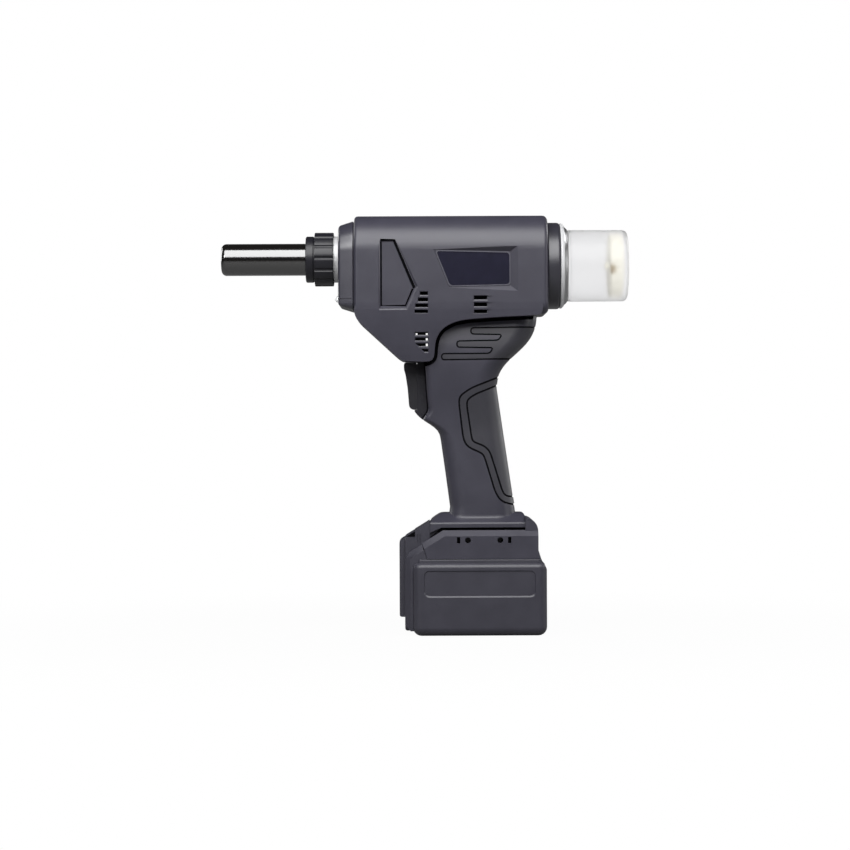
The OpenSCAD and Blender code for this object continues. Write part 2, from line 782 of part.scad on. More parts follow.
// Front of the head
module front_bezel() {
    edge = wall / 3;
    color("#37363d") difference() {
        hull() {
            along_x(x_barrel - edge, edge) barrel_section(edge, edge, $fn = 32);
            along_x(x_bezel, edge) barrel_section(bezel_draw, bezel_draw, $fn = 32);
        }
        x_cyl(x_bezel - over, bezel_len + 2 * over, collar_d / 2 + gap, z_axis);
        x_cyl(x_bezel + wall, bezel_len, plate_r + gap, z_axis);
        x_cyl(x_bezel - over, bezel_len + 2 * over, lamp_r + seat, z_axis - lamp_drop);
        lugs(x_barrel - screw_head_t - gap, bezel_len, screw_head_r + gap);
    }
}
module led_lamp() {
    color("white") {
        x_cyl(x_bezel - lamp_show + lamp_r, lamp_len - lamp_r + lamp_show, lamp_r, z_axis - lamp_drop);
        translate([x_bezel - lamp_show + lamp_r, 0, z_axis - lamp_drop]) sphere(lamp_r);
    }
}
lug_angles = [35, 145, 225, 315];
module lugs(x, len, r) {
    for (a = lug_angles)
        translate([0, (case_r + lug_reach) * cos(a), (case_r + lug_reach) * sin(a)])
            x_cyl(x, len, r, z_axis);
}
module case_section(grow) {
    translate([0, z_axis]) circle(case_r + grow);
    translate([0, z_motor]) circle(lobe_r + grow);
    translate([-lobe_r - grow, z_motor]) square([2 * (lobe_r + grow), centre_drop]);
}
module front_flange() {
    color("silver") difference() {
        union() {
            x_cyl(x_lock + lock_front_t + gap + nose_flange_t, lock_len + flange_show, snout_r, z_axis);
            x_cyl(x_flange + gap, flange_show + wall - gap, collar_d / 2, z_axis);
            x_cyl(x_bezel + wall + gap, bezel_len - wall - gap, plate_r, z_axis);
            along_x(x_barrel, flange_lid_t) case_section(0);
            lugs(x_barrel, flange_lid_t, lug_r);
            x_cyl(x_case, shaft_boss_len, shaft_boss_r, z_motor);
        }
        x_cyl(x_lock, x_case + over - x_lock, bore_r, z_axis);
        x_cyl(x_case + gap, shaft_boss_len, shaft_r + shaft_bush_gap, z_motor);
        lugs(x_barrel - over, flange_lid_t + 2 * over, case_screw_r + seat);
    }
}
module gear_case() {
    color("silver") difference() {
        union() {
            along_x(x_case, x_stage - x_case) case_section(0);
            lugs(x_case, lug_len, lug_r);
        }
        x_cyl(x_case - over, x_bearing - x_case - seat + over, case_room_r, z_axis);
        x_cyl(x_case - over, x_case_end - x_case + over, bearing_r + seat, z_axis);
        x_cyl(x_case_end - over, case_end_t + 2 * over, spindle_r + 2 * gap, z_axis);
        x_cyl(x_case - over, x_nut_gear + gear_w + 2 * gap - x_case + over, pinion_room_r, z_motor);
        x_cyl(x_case, x_stage - x_case + over, shaft_r + shaft_bush_gap, z_motor);
        lugs(x_case - over, case_screw_len + over, case_screw_r + seat);
    }
}
module gear_case_screws() {
    color("dimgray") {
        lugs(x_barrel, case_screw_len, case_screw_r);
        lugs(x_barrel - screw_head_t, screw_head_t, screw_head_r);
    }
}
module nose_housing() {
    r = nose_d / 2;
    x_seat = x_lock + lock_front_t + gap;
    color("#101114") difference() {
        union() {
            x_cyl(x_tip, nose_edge, r - nose_edge, z_axis);
            x_torus(x_tip + nose_edge, r - nose_edge, nose_edge, z_axis);
            x_cyl(x_tip + nose_edge, x_seat - x_tip - nose_edge, r, z_axis);
            x_cyl(x_seat, nose_flange_t, nose_flange_r, z_axis);
        }
        x_cyl(x_tip + nose_head_t, x_flange - x_tip, bore_r, z_axis);
        x_cyl(x_tip - over, nose_head_t + 2 * over, thread_r, z_axis);
    }
}
module nose_piece() {
    color("#c9c9cc") difference() {
        union() {
            x_cyl(x_tip, nose_head_t + nose_edge, thread_r - seat, z_axis);
            x_cyl(x_tip, jaw_setback - gap, tail_r, z_axis);
        }
        x_cyl(x_tip - over, jaw_setback + 2 * over, rivet_hole_d / 2, z_axis);
    }
}
module lock_ring() {
    flute_r = flute_share * PI * lock_d / flutes;
    color("#15161a") difference() {
        union() {
            x_cyl(x_collar, collar_len, collar_d / 2, z_axis);
            x_cyl(x_lock, lock_len, lock_d / 2, z_axis);
        }
        x_cyl(x_collar - over, collar_len + lock_len + over, nose_d / 2 + gap, z_axis);
        x_cyl(x_lock + lock_front_t, lock_len, snout_r + gap, z_axis);
        for (i = [0 : flutes - 1]) translate([0, 0, z_axis])
            rotate([360 * (i + flute_start_share) / flutes, 0, 0])
                x_cyl(x_lock + lock_front_t / 2, lock_len + over, flute_r, lock_d / 2 + flute_r / 2);
    }
}

// Ball screw train
module thrust_race() {
    color("#b8bac0") x_ring(x_case, thrust_len, thrust_r, bore_r, z_axis);
}
race_inner_r = nut_tail_r + seat + bearing_race_t;
ball_orbit_r = race_inner_r + gap + ball_r;
module bearing_outer() {
    color("#b8bac0") union() {
        x_ring(x_bearing, bearing_len, bearing_r, ball_orbit_r + ball_r - ball_sink, z_axis);
        for (i = [0 : ball_count - 1]) translate([0, 0, z_axis]) rotate([360 * i / ball_count, 0, 0])
            translate([x_bearing + bearing_len / 2, 0, ball_orbit_r]) sphere(ball_r);
    }
}
module bearing_inner() {
    color("#b8bac0") x_ring(x_bearing, bearing_len, race_inner_r, nut_tail_r + seat, z_axis);
}
module ball_nut() {
    color("#8d9097") difference() {
        union() {
            x_cyl(x_nut, nut_len - bearing_len, nut_r, z_axis);
            x_cyl(x_nut, nut_len, nut_tail_r, z_axis);
        }
        x_cyl(x_nut - over, nut_len + 2 * over, spindle_r + gap, z_axis);
    }
}
module nut_gear() {
    color("#a8aab0") difference() {
        spur(nut_teeth, spur_module, x_nut_gear, z_axis, gear_w);
        x_cyl(x_nut_gear - over, gear_w + 2 * over, nut_r + seat, z_axis);
    }
}
module spindle() {
    color("#9a9ca3") difference() {
        union() {
            x_cyl(x_coupling_end - spindle_neck, spindle_neck, spindle_neck_r, z_axis);
            x_cyl(x_coupling_end, x_spindle_end - x_coupling_end, spindle_r, z_axis);
        }
        x_cyl(x_tip, overall, spindle_bore_r, z_axis);
    }
}
module jaw_coupling() {
    x_body = x_jaw_case + jaw_case_len;
    color("#85878e") difference() {
        union() {
            x_cyl(x_coupling, coupling_neck, jaw_chamber_r - seat, z_axis);
            x_cyl(x_body, x_coupling_end - x_body, puller_r, z_axis);
        }
        x_cyl(x_coupling - over, x_jaw_spring + jaw_spring_len - x_coupling + over + seat,
            pusher_r + 2 * gap, z_axis);
        x_cyl(x_coupling, coupling_len + over, spindle_bore_r, z_axis);
        x_cyl(x_coupling_end - spindle_neck, spindle_neck + over, spindle_neck_r + seat, z_axis);
    }
}
module jaw_cone(x, len, shrink) {
    r = jaw_mouth_r - shrink;
    x_cone(x, len, r + jaw_taper * (x - x_jaw_case), r + jaw_taper * (x + len - x_jaw_case), z_axis);
}
module jaw_case() {
    cone_len = jaw_len + 2 * jaw_lip;
    color("#77797f") difference() {
        x_cyl(x_jaw_case, jaw_case_len, puller_r, z_axis);
        jaw_cone(x_jaw_case - over, cone_len + over, 0);
        x_cyl(x_jaw_case + cone_len, jaw_case_len, jaw_chamber_r, z_axis);
    }
}
module jaw(i) {
    apex = jaw_split / 2 / sin(60);
    reach = 2 * puller_r;
    color("#c2a45a") intersection() {
        difference() {
            jaw_cone(x_jaw, jaw_len, gap);
            x_cyl(x_jaw - over, jaw_len + 2 * over, jaw_grip_r, z_axis);
        }
        translate([0, 0, z_axis]) rotate([120 * i, 0, 0]) along_x(x_jaw - over, jaw_len + 2 * over)
            polygon([[apex, 0], [apex + reach * cos(60), reach * sin(60)], [2 * reach, 0],
                [apex + reach * cos(60), -reach * sin(60)]]);
    }
}
module jaw_1() { jaw(0); }
module jaw_2() { jaw(1); }
module jaw_3() { jaw(2); }
module jaw_pusher() {
    color("#8d9097") x_ring(x_pusher, pusher_len, pusher_r, pusher_bore_r, z_axis);
}
jaw_spring_turns = 6;
module jaw_spring() {
    color("#b0b2b8") coil(x_jaw_spring + seat, z_axis, jaw_spring_len - seat,
        pusher_r - spring_wire, spring_wire, jaw_spring_turns);
}
module guide_block() {
    color("#6f7178") difference() {
        union() {
            x_cyl(x_block, block_len, block_r, z_axis);
            box(x_block, key_w / 2, z_axis, block_len, block_r + key_h);
        }
        x_cyl(x_block - over, block_len + 2 * over, spindle_r + seat, z_axis);
    }
}
module guide_rail() {
    z_rail_low = z_axis + block_r + gap;
    color("#4a4b50") difference() {
        box(x_rail, rail_w / 2, z_rail_low, rail_len, z_mid + barrel_h / 2 - wall - z_rail_low);
        box(x_rail - over, key_w / 2 + gap, z_rail_low - over, rail_len + 2 * over, key_h + over + gap);
    }
}
module mandrel_tube() {
    x = x_spindle_end - tube_overlap;
    color("#d5d6d8") x_ring(x, x_rear + cap_len / 2 - x, tube_r, tube_r - tube_wall, z_axis);
}

// Gear train and motor
module pinion() {
    color("#a8aab0") difference() {
        translate([0, 0, z_motor]) rotate([180 / pinion_teeth, 0, 0])
            spur(pinion_teeth, spur_module, x_nut_gear, 0, gear_w);
        x_cyl(x_nut_gear - over, gear_w + 2 * over, shaft_r + seat, z_motor);
    }
}
function planet_at(i) = [orbit_r * cos(360 * i / planet_count), orbit_r * sin(360 * i / planet_count)];
module at_planet(i) {
    p = planet_at(i);
    translate([0, p[0], p[1]]) children();
}
module planet_carrier() {
    color("#85878e") {
        x_cyl(x_case + 2 * gap, x_carrier - x_case - 2 * gap, shaft_r, z_motor);
        x_cyl(x_carrier, carrier_t, carrier_r, z_motor);
        for (i = [0 : planet_count - 1]) at_planet(i)
            x_cyl(x_carrier, carrier_t + gap + gear_w, planet_pin_r, z_motor);
    }
}
module planet(i) {
    color("#a8aab0") difference() {
        at_planet(i) translate([0, 0, z_motor]) rotate([360 * i / planet_count, 0, 0])
            spur(planet_teeth, planet_module, x_planet, 0, gear_w);
        at_planet(i) x_cyl(x_planet - over, gear_w + 2 * over, planet_bore_r, z_motor);
    }
}
module planet_1() { planet(0); }
module planet_2() { planet(1); }
module planet_3() { planet(2); }
module ring_gear() {
    pitch_r = planet_module * ring_teeth / 2;
    color("#7d7f86") difference() {
        x_cyl(x_stage, x_motor - x_stage, stage_r, z_motor);
        x_cyl(x_stage - over, stage_wall + 2 * over, shaft_r + gap, z_motor);
        x_cyl(x_stage + stage_wall, carrier_t + 2 * gap, carrier_room_r, z_motor);
        translate([0, 0, z_motor]) along_x(x_planet - gap, x_motor - x_planet + gap + over)
            gear_2d(ring_teeth, planet_module, pitch_r - tip_share * planet_module,
                pitch_r + root_share * planet_module, -tooth_slack, 1);
    }
}
module sun_gear() {
    color("#a8aab0") difference() {
        spur(sun_teeth, planet_module, x_planet, z_motor, gear_w);
        x_cyl(x_planet - over, gear_w + 2 * over, rotor_shaft_r + seat, z_motor);
    }
}
commutator_r = 5;
module rotor() {
    color("#b5734a") {
        x_cyl(x_planet, x_shaft_end - x_planet, rotor_shaft_r, z_motor);
        x_cyl(x_armature, armature_len, armature_r, z_motor);
        x_cyl(x_armature, x_bell - bell_t - gap - x_armature, commutator_r, z_motor);
    }
}
module fan() {
    color("#2a2a2e") difference() {
        union() {
            x_cyl(x_fan, fan_len, fan_hub_r, z_motor);
            x_cyl(x_fan, fan_disc_t, fan_r, z_motor);
            translate([0, 0, z_motor]) for (i = [0 : fan_blades - 1]) rotate([360 * i / fan_blades, 0, 0])
                translate([x_fan, -fan_blade_t / 2, fan_hub_r - fan_blade_t])
                cube([fan_len, fan_blade_t, fan_r - fan_hub_r]);
        }
        x_cyl(x_fan - over, fan_len + 2 * over, rotor_shaft_r + seat, z_motor);
    }
}
magnet_gap_share = 0.5;
module motor_can() {
    color("#9fa1a6") difference() {
        x_cyl(x_motor, motor_len, motor_r, z_motor);
        x_cyl(x_motor + motor_front_t, motor_len, magnet_r, z_motor);
        x_cyl(x_motor - over, motor_front_t + 2 * over, rotor_shaft_r + shaft_bush_gap, z_motor);
        x_cyl(x_bell - bell_t - gap, motor_len, motor_r - motor_wall, z_motor);
        translate([0, 0, z_motor]) intersection() {
            x_cyl(x_motor + motor_front_t, motor_len, motor_r - motor_wall, 0);
            box(x_motor + motor_front_t, magnet_gap_share * magnet_r, -motor_r, motor_len, 2 * motor_r);
        }
    }
}
module motor_end_bell() {
    color("#33343a") difference() {
        union() {
            x_cyl(x_bell - bell_t, bell_t, motor_r - motor_wall - seat, z_motor);
            x_cyl(x_bell, bell_t / 2, motor_r - motor_wall / 2, z_motor);
        }
        x_cyl(x_bell - 2 * bell_t, 3 * bell_t, rotor_shaft_r + shaft_bush_gap, z_motor);
        translate([0, 0, z_motor]) for (a = [0 : 90 : 270]) rotate([a + 45, 0, 0])
            x_cyl(x_bell - 2 * bell_t, 3 * bell_t, bell_hole_r, (motor_r - motor_wall) / 2 + bell_hole_r);
    }
}

// Rear cap and container
module rear_cap() {
    r = cap_d / 2;
    color("#141519") difference() {
        union() {
            x_cyl(x_rear - wall - cap_flange_t, cap_flange_t, cap_flange_r, z_mid);
            x_cyl(x_rear - wall - over, wall + 2 * over, cap_neck_r, z_mid);
            x_cyl(x_rear, cap_len - cap_edge, r, z_mid);
            x_torus(x_ring - cap_edge, r - cap_edge, cap_edge, z_mid);
            x_cyl(x_rear, cap_len, r - cap_edge, z_mid);
        }
        x_cyl(x_rear - cap_len, 2 * cap_len, tube_r + seat, z_axis);
        x_cyl(x_rear + cap_len / 2, cap_len, cup_spigot_r + gap, z_mid);
    }
}
module container_ring() {
    color("#d9dadc") difference() {
        x_cone(x_ring, cup_ring_len, cap_d / 2 - cup_ring_step, cup_d / 2 + gap, z_mid);
        x_cyl(x_ring - over, cup_ring_len + 2 * over, cup_spigot_r + gap, z_mid);
    }
}
x_spigot = x_cup + gap - cup_spigot_len;
module container() {
    r = cup_d / 2;
    end_r = r - cup_draft;
    len = cup_len - gap;
    color("#e8e9ea", 0.6) difference() {
        union() {
            x_cyl(x_spigot, cup_spigot_len + cup_wall, cup_spigot_r, z_mid);
            x_cone(x_cup + gap, len - cup_edge, r, end_r, z_mid);
            x_torus(x_end - cup_edge, end_r - cup_edge, cup_edge, z_mid);
            x_cyl(x_end - cup_edge, cup_edge, end_r - cup_edge, z_mid);
        }
        x_cyl(x_spigot - over, cup_spigot_len + cup_wall + 2 * over, cup_spigot_r - cup_wall, z_mid);
        x_cone(x_cup + gap + cup_wall, len - 2 * cup_wall, r - cup_wall, end_r - cup_wall, z_mid);
        x_ring(x_spigot + seal_setback - seal_wire_r, 2 * seal_wire_r, r,
            cup_spigot_r - 2 * seal_wire_r, z_mid);
    }
}
module container_seal() {
    color("#1b1b1d") x_torus(x_spigot + seal_setback, cup_spigot_r - seal_wire_r + gap / 2,
        seal_wire_r - seat, z_mid);
}
module container_bumper() {
    x = x_end - cup_wall - bumper_len;
    color("#e9dfc0") {
        x_cyl(x, bumper_len, cup_spigot_r - cup_wall - gap, z_mid);
        x_cyl(x - stud_len, stud_len, stud_r, z_mid);
    }
}

// Trigger and electrics
module trigger() {
    p = hand_pt(trigger_shares[len(trigger_shares) - 1]);
    z = hand_pt(switch_shares)[1] + switch_h / 2;
    color("#313036") {
        along_y(trigger_w / 2) polygon([for (s = trigger_shares) hand_pt(s)]);
        x_cyl(p[0], stem_len, stem_r, z);
    }
}
module trigger_pad() {
    color("#232327") along_y(trigger_w / 2) polygon([for (s = trigger_pad_shares) hand_pt(s)]);
}
trigger_spring_turns = 4;
module trigger_spring() {
    p = hand_pt(trigger_shares[len(trigger_shares) - 1]);
    x = p[0] + seat;
    z = hand_pt(switch_shares)[1] + switch_h / 2;
    color("#b0b2b8") coil(x, z, x_hand + switch_shares[0] * web_len - x - seat, trigger_spring_r,
        spring_wire, trigger_spring_turns);
}
module trigger_switch() {
    p = hand_pt(switch_shares);
    color("#1f1f23") difference() {
        box(p[0], switch_w / 2, p[1], switch_len, switch_h);
        x_cyl(p[0] - over, stem_len + trigger_travel + over, stem_r + gap, p[1] + switch_h / 2);
    }
}
z_board = z_seat + rail_room_h + seat + block_h;
module controller_board() {
    x0 = x_hand + board_shares[0] * foot_len;
    color("#2f6b3a") box(x0, room_w / 2 - seat, z_board, (board_shares[1] - board_shares[0]) * foot_len,
        board_t);
}
module blade_places() {
    for (s = [-1, 1]) translate([x_hand + blade_share * foot_len, s * blade_spread, 0]) children();
}
module terminal_block() {
    x0 = x_hand + terminal_shares[0] * foot_len;
    z = z_seat + rail_room_h + seat;
    color("#c9a23a") {
        box(x0, room_w / 2 - seat, z, (terminal_shares[1] - terminal_shares[0]) * foot_len, block_h);
        blade_places() translate([0, -blade_t / 2, z_seat - rail_lip + gap])
            cube([blade_len, blade_t, z + over - z_seat + rail_lip - gap]);
    }
}
module wiring() {
    z_switch = hand_pt(switch_shares)[1];
    z_points = [z_board + board_t + gap, z_switch - gap, z_switch + switch_h + gap, z_motor - motor_r];
    pts = [for (i = [0 : 3]) [x_hand + wire_shares[i] * web_len, 0, z_points[i]]];
    color("#8c1f1f") for (s = [-1, 1]) translate([0, s * wire_spread, 0]) {
        rod(pts[0], pts[1], wire_r);
        rod(pts[2], pts[3], wire_r);
    }
}

// Battery pack
case_front_share = 0.6;
x_case_front = x_hand - case_front_share * panel_reach;
x_case_mid = x_case_front + case_len / 2;
module case_plan(inset) {
    rounded_rect(case_len - 2 * inset, case_w - 2 * inset, case_corner_r - inset);
}
module battery_tub() {
    color("#38373e") difference() {
        translate([x_case_mid, 0, 0]) {
            linear_extrude(case_foot_h) case_plan(case_foot_inset);
            translate([0, 0, case_foot_h]) linear_extrude(case_h - case_foot_h) case_plan(0);
        }
        translate([x_case_mid, 0, case_wall]) linear_extrude(case_h) case_plan(case_wall + gap);
    }
}
function slope_z(x, drop) = z_deck - slope_drop - drop + (x - x_hand) * tan(foot_slope);
module panel_side(drop, half, x0) {
    along_y(half) polygon([[x0, panel_lift], [x0, slope_z(x0, drop)],
        [x_hand - gap, slope_z(x_hand - gap, drop)], [x_hand - gap, case_h], [x_case_front - seat, case_h],
        [x_case_front - seat, panel_lift]]);
}
module latch_room(grow, x0, z0) {
    box(x0, latch_w / 2 + grow, z0, x_hand + tongue_len + gap - x0, z_deck);
}
module battery_top() {
    x0 = x_hand - panel_reach;
    x_rail0 = x_hand + foot_rail_shares[0] * foot_len;
    rail_l = (foot_rail_shares[1] - foot_rail_shares[0]) * foot_len - 2 * gap;
    z_head = z_seat + rail_lip + gap;
    z_top = z_head + rail_head_h;
    color("#38373e") difference() {
        union() {
            translate([x_case_mid, 0, case_h]) linear_extrude(lid_t) case_plan(lid_inset);
            box(x_hand - over, rail_neck_w / 2, case_h, x_rail0 + rail_l - x_hand + over, z_top - case_h);
            box(x_hand - over, rail_head_w / 2, z_head, x_rail0 + rail_l - x_hand + over, rail_head_h);
            panel_side(0, panel_w / 2, x0);
            panel_side(cheek_drop, cheek_w / 2, x0);
            along_y(plate_w / 2) polygon([[x0 - plate_t, plate_low],
                [x0 - plate_t, slope_z(x0 - plate_t, over)], [x0 + over, slope_z(x0 + over, over)],
                [x0 + over, plate_low]]);
        }
        latch_room(gap, x0 - plate_t - over, latch_lift - latch_travel - gap);
        translate([x0 + well_share * panel_reach, 0, latch_lift - well_depth])
            cylinder(h = well_depth, r = well_r);
        blade_places() {
            translate([-over, -fork_w / 2 - gap, case_h - over])
                cube([blade_len + 2 * over, fork_w + 2 * gap, z_top - case_h - over]);
            translate([-over, -blade_t, z_seat - rail_lip]) cube([case_len, 2 * blade_t, z_top]);
        }
    }
}
cell_count = 5;
module cell_places(len, r) {
    for (i = [0 : cell_count - 1])
        y_cyl([x_case_mid + (i - (cell_count - 1) / 2) * cell_pitch, case_wall + cell_lift],
            -len / 2, len, r);
}
module cells() {
    color("#3c6fa8") cell_places(cell_len, cell_d / 2);
}
module cell_holder() {
    len = case_len - 2 * case_wall - 4 * gap;
    color("#26272b") difference() {
        box(x_case_mid - len / 2, holder_w / 2, case_wall, len, holder_h);
        cell_places(holder_w + 2 * over, cell_d / 2 + seat);
    }
}
module battery_board() {
    z = case_wall + holder_h;
    fork_top = z_seat + gap;
    color("#2f6b3a") {
        box(x_hand + board_shares[0] * foot_len, holder_w / 2, z,
            (board_shares[1] - board_shares[0]) * foot_len, board_t);
        blade_places() difference() {
            translate([0, -fork_w / 2, z]) cube([blade_len, fork_w, fork_top - z]);
            translate([-over, -fork_slit / 2, case_h]) cube([blade_len + 2 * over, fork_slit, case_h]);
        }
    }
}
module latch_button() {
    x0 = x_hand - panel_reach - plate_t;
    x1 = x0 + latch_reach;
    recess = latch_w / 3;
    color("#2a292e") difference() {
        union() {
            along_y(latch_w / 2) polygon([[x0, latch_lift], [x0, slope_z(x0, over)],
                [x1, slope_z(x1, over)], [x1, latch_lift]]);
            box(x1 - over, tongue_w / 2, latch_lift + tongue_t, x_hand + tongue_len - x1 + over, tongue_t);
        }
        translate([x0 + latch_reach / 2, 0, slope_z(x0 + latch_reach / 2, over) + recess / 2])
            rotate([90, 0, 0]) translate([0, 0, -recess]) cylinder(h = 2 * recess, r = recess);
    }
}
latch_spring_turns = 9;
module latch_spring() {
    x = x_hand - panel_reach + well_share * panel_reach;
    z = latch_lift - well_depth;
    color("#b0b2b8") translate([x, 0, z + seat]) rotate([0, -90, 0])
        coil(0, 0, well_depth - 2 * seat, well_r - spring_wire, spring_wire, latch_spring_turns);
}

housing_left();
housing_right();
housing_screws();
grip_pad();
web_pad();
front_bezel();
name_plates();
led_lamp();
front_flange();
gear_case();
gear_case_screws();
nose_housing();
nose_piece();
lock_ring();
thrust_race();
bearing_outer();
bearing_inner();
ball_nut();
nut_gear();
spindle();
jaw_coupling();
jaw_case();
jaw_1();
jaw_2();
jaw_3();
jaw_pusher();
jaw_spring();
guide_block();
guide_rail();
mandrel_tube();
pinion();
planet_carrier();
planet_1();
planet_2();
planet_3();
ring_gear();
sun_gear();
rotor();
fan();
motor_can();
motor_end_bell();
rear_cap();
container_ring();
container();
container_seal();
container_bumper();
trigger();
trigger_pad();
trigger_spring();
trigger_switch();
controller_board();
terminal_block();
wiring();
battery_tub();
battery_top();
cells();
cell_holder();
battery_board();
latch_button();
latch_spring();
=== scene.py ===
"""Looks of a battery rivet tool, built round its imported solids."""

import json
import logging
import math
from dataclasses import dataclass
from enum import Enum
from functools import cached_property
from typing import Callable, Sequence

import bmesh
import bpy
from mathutils import Matrix, Vector


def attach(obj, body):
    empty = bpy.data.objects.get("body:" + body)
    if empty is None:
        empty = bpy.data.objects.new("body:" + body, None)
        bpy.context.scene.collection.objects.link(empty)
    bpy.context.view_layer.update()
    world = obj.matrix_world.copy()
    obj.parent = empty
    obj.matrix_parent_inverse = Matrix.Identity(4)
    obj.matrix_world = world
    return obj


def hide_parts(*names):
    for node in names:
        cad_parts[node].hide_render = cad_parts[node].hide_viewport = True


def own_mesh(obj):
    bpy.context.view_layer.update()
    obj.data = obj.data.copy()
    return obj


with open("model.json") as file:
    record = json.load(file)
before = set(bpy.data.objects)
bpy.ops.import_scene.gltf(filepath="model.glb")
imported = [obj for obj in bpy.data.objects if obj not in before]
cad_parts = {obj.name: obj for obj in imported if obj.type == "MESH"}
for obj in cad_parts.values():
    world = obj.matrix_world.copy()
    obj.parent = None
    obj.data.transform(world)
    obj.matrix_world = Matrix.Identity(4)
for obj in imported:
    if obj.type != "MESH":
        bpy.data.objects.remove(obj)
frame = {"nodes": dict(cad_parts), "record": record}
log = logging.getLogger("rivet_tool")
MM = 0.001
NEAR = 1e-4
TOUCHING = 1e-5
REACH = 40.0
Point = tuple[float, float]
Triple = tuple[float, float, float]
Outline = list[Point]
Line = Sequence[Point]
Vent = tuple[float, float, float, float]
Pick = Callable[[Vector, Vector], bool]


class Plane(Enum):
    """Plane that an outline is drawn in, named for the view that shows it."""

    SIDE = (0, 2, 1)
    FRONT = (1, 2, 0)
    PLAN = (0, 1, 2)

    def place(self, point: Point, depth: float) -> Vector:
        """Returns the point in space at a depth behind the plane."""
        spot = Vector((0, 0, 0))
        spot[self.value[0]], spot[self.value[1]], spot[self.value[2]] = point[0], point[1], depth
        return spot


class Join(Enum):
    """How one solid acts on another."""

    ADD = "UNION"
    CUT = "DIFFERENCE"
    COMMON = "INTERSECT"


def arc(centre: Point, radius: float, start: float, end: float, steps: int) -> Outline:
    """Points along an arc.

    Args:
        centre: Middle of the arc.
        radius: Its radius.
        start: First angle, in degrees.
        end: Last angle, in degrees.
        steps: Number of chords.

    Returns:
        The points, first and last included.
    """
    turns = [math.radians(start + (end - start) * i / steps) for i in range(steps + 1)]
    return [(centre[0] + radius * math.cos(a), centre[1] + radius * math.sin(a)) for a in turns]


def fillet(points: Line, cut: float, steps: int = 5, closed: bool = True) -> Outline:
    """Rounds the corners of a line.

    Args:
        points: Corners of the line.
        cut: How far from a corner its rounding starts.
        steps: Chords in each rounding.
        closed: Whether the last corner joins the first.

    Returns:
        The rounded line.
    """
    out: Outline = []
    for i, corner in enumerate(points):
        if not closed and i in (0, len(points) - 1):
            out.append(corner)
            continue
        middle = Vector(corner)
        before = Vector(points[i - 1]) - middle
        after = Vector(points[(i + 1) % len(points)]) - middle
        first = middle + before.normalized() * min(cut, 0.48 * before.length)
        last = middle + after.normalized() * min(cut, 0.48 * after.length)
        for k in range(steps + 1):
            t = k / steps
            spot = first * (1 - t) ** 2 + middle * (2 * t * (1 - t)) + last * t * t
            out.append((spot.x, spot.y))
    return out


def band(path: Line, width: float) -> Outline:
    """Returns the outline of a line of some width along an open path."""
    left: Outline = []
    right: Outline = []
    for i, point in enumerate(path):
        along = Vector(path[min(i + 1, len(path) - 1)]) - Vector(path[max(i - 1, 0)])
        across = Vector((-along.y, along.x)).normalized() * (width / 2)
        left.append((point[0] + across.x, point[1] + across.y))
        right.append((point[0] - across.x, point[1] - across.y))
    return left + right[::-1]


def between(table: Line, height: float) -> float:
    """Returns the value at a height in a table of (height, value), joined by straight lines."""
    for (z0, a), (z1, b) in zip(table, table[1:]):
        if height <= z1:
            return a + (b - a) * max(0.0, height - z0) / (z1 - z0)
    return table[-1][1]


def rounded(x: Point, y: Point, radii: Sequence[float], steps: Sequence[int], first: int = 0) -> Outline:
    """A rectangle with rounded corners.

    Args:
        x: Its two ends.
        y: Its lower and upper edge.
        radii: Radius of each corner, anticlockwise from the upper right one.
        steps: Chords in each corner.
        first: Corner that the outline starts with.

    Returns:
        The outline.
    """
    line: Outline = []
    for turn in range(first, first + 4):
        corner = turn % 4
        r = radii[corner]
        centre = (x[1] - r if corner in (0, 3) else x[0] + r, y[1] - r if corner < 2 else y[0] + r)
        line += arc(centre, r, 90 * turn, 90 * turn + 90, steps[corner])
    return line


def edges_at(axis: int, place: float) -> Pick:
    """Returns a test for edges that lie at a place on an axis."""
    return lambda a, b: abs(a[axis] - place) < NEAR and abs(b[axis] - place) < NEAR


def on_one_side(a: Vector, b: Vector) -> bool:
    """Tells whether an edge stays on one side of the tool."""
    return a.y * b.y > 0


def ease(value: float) -> float:
    """Returns a smooth step from 0 to 1."""
    t = min(1.0, max(0.0, value))
    return t * t * (3 - 2 * t)


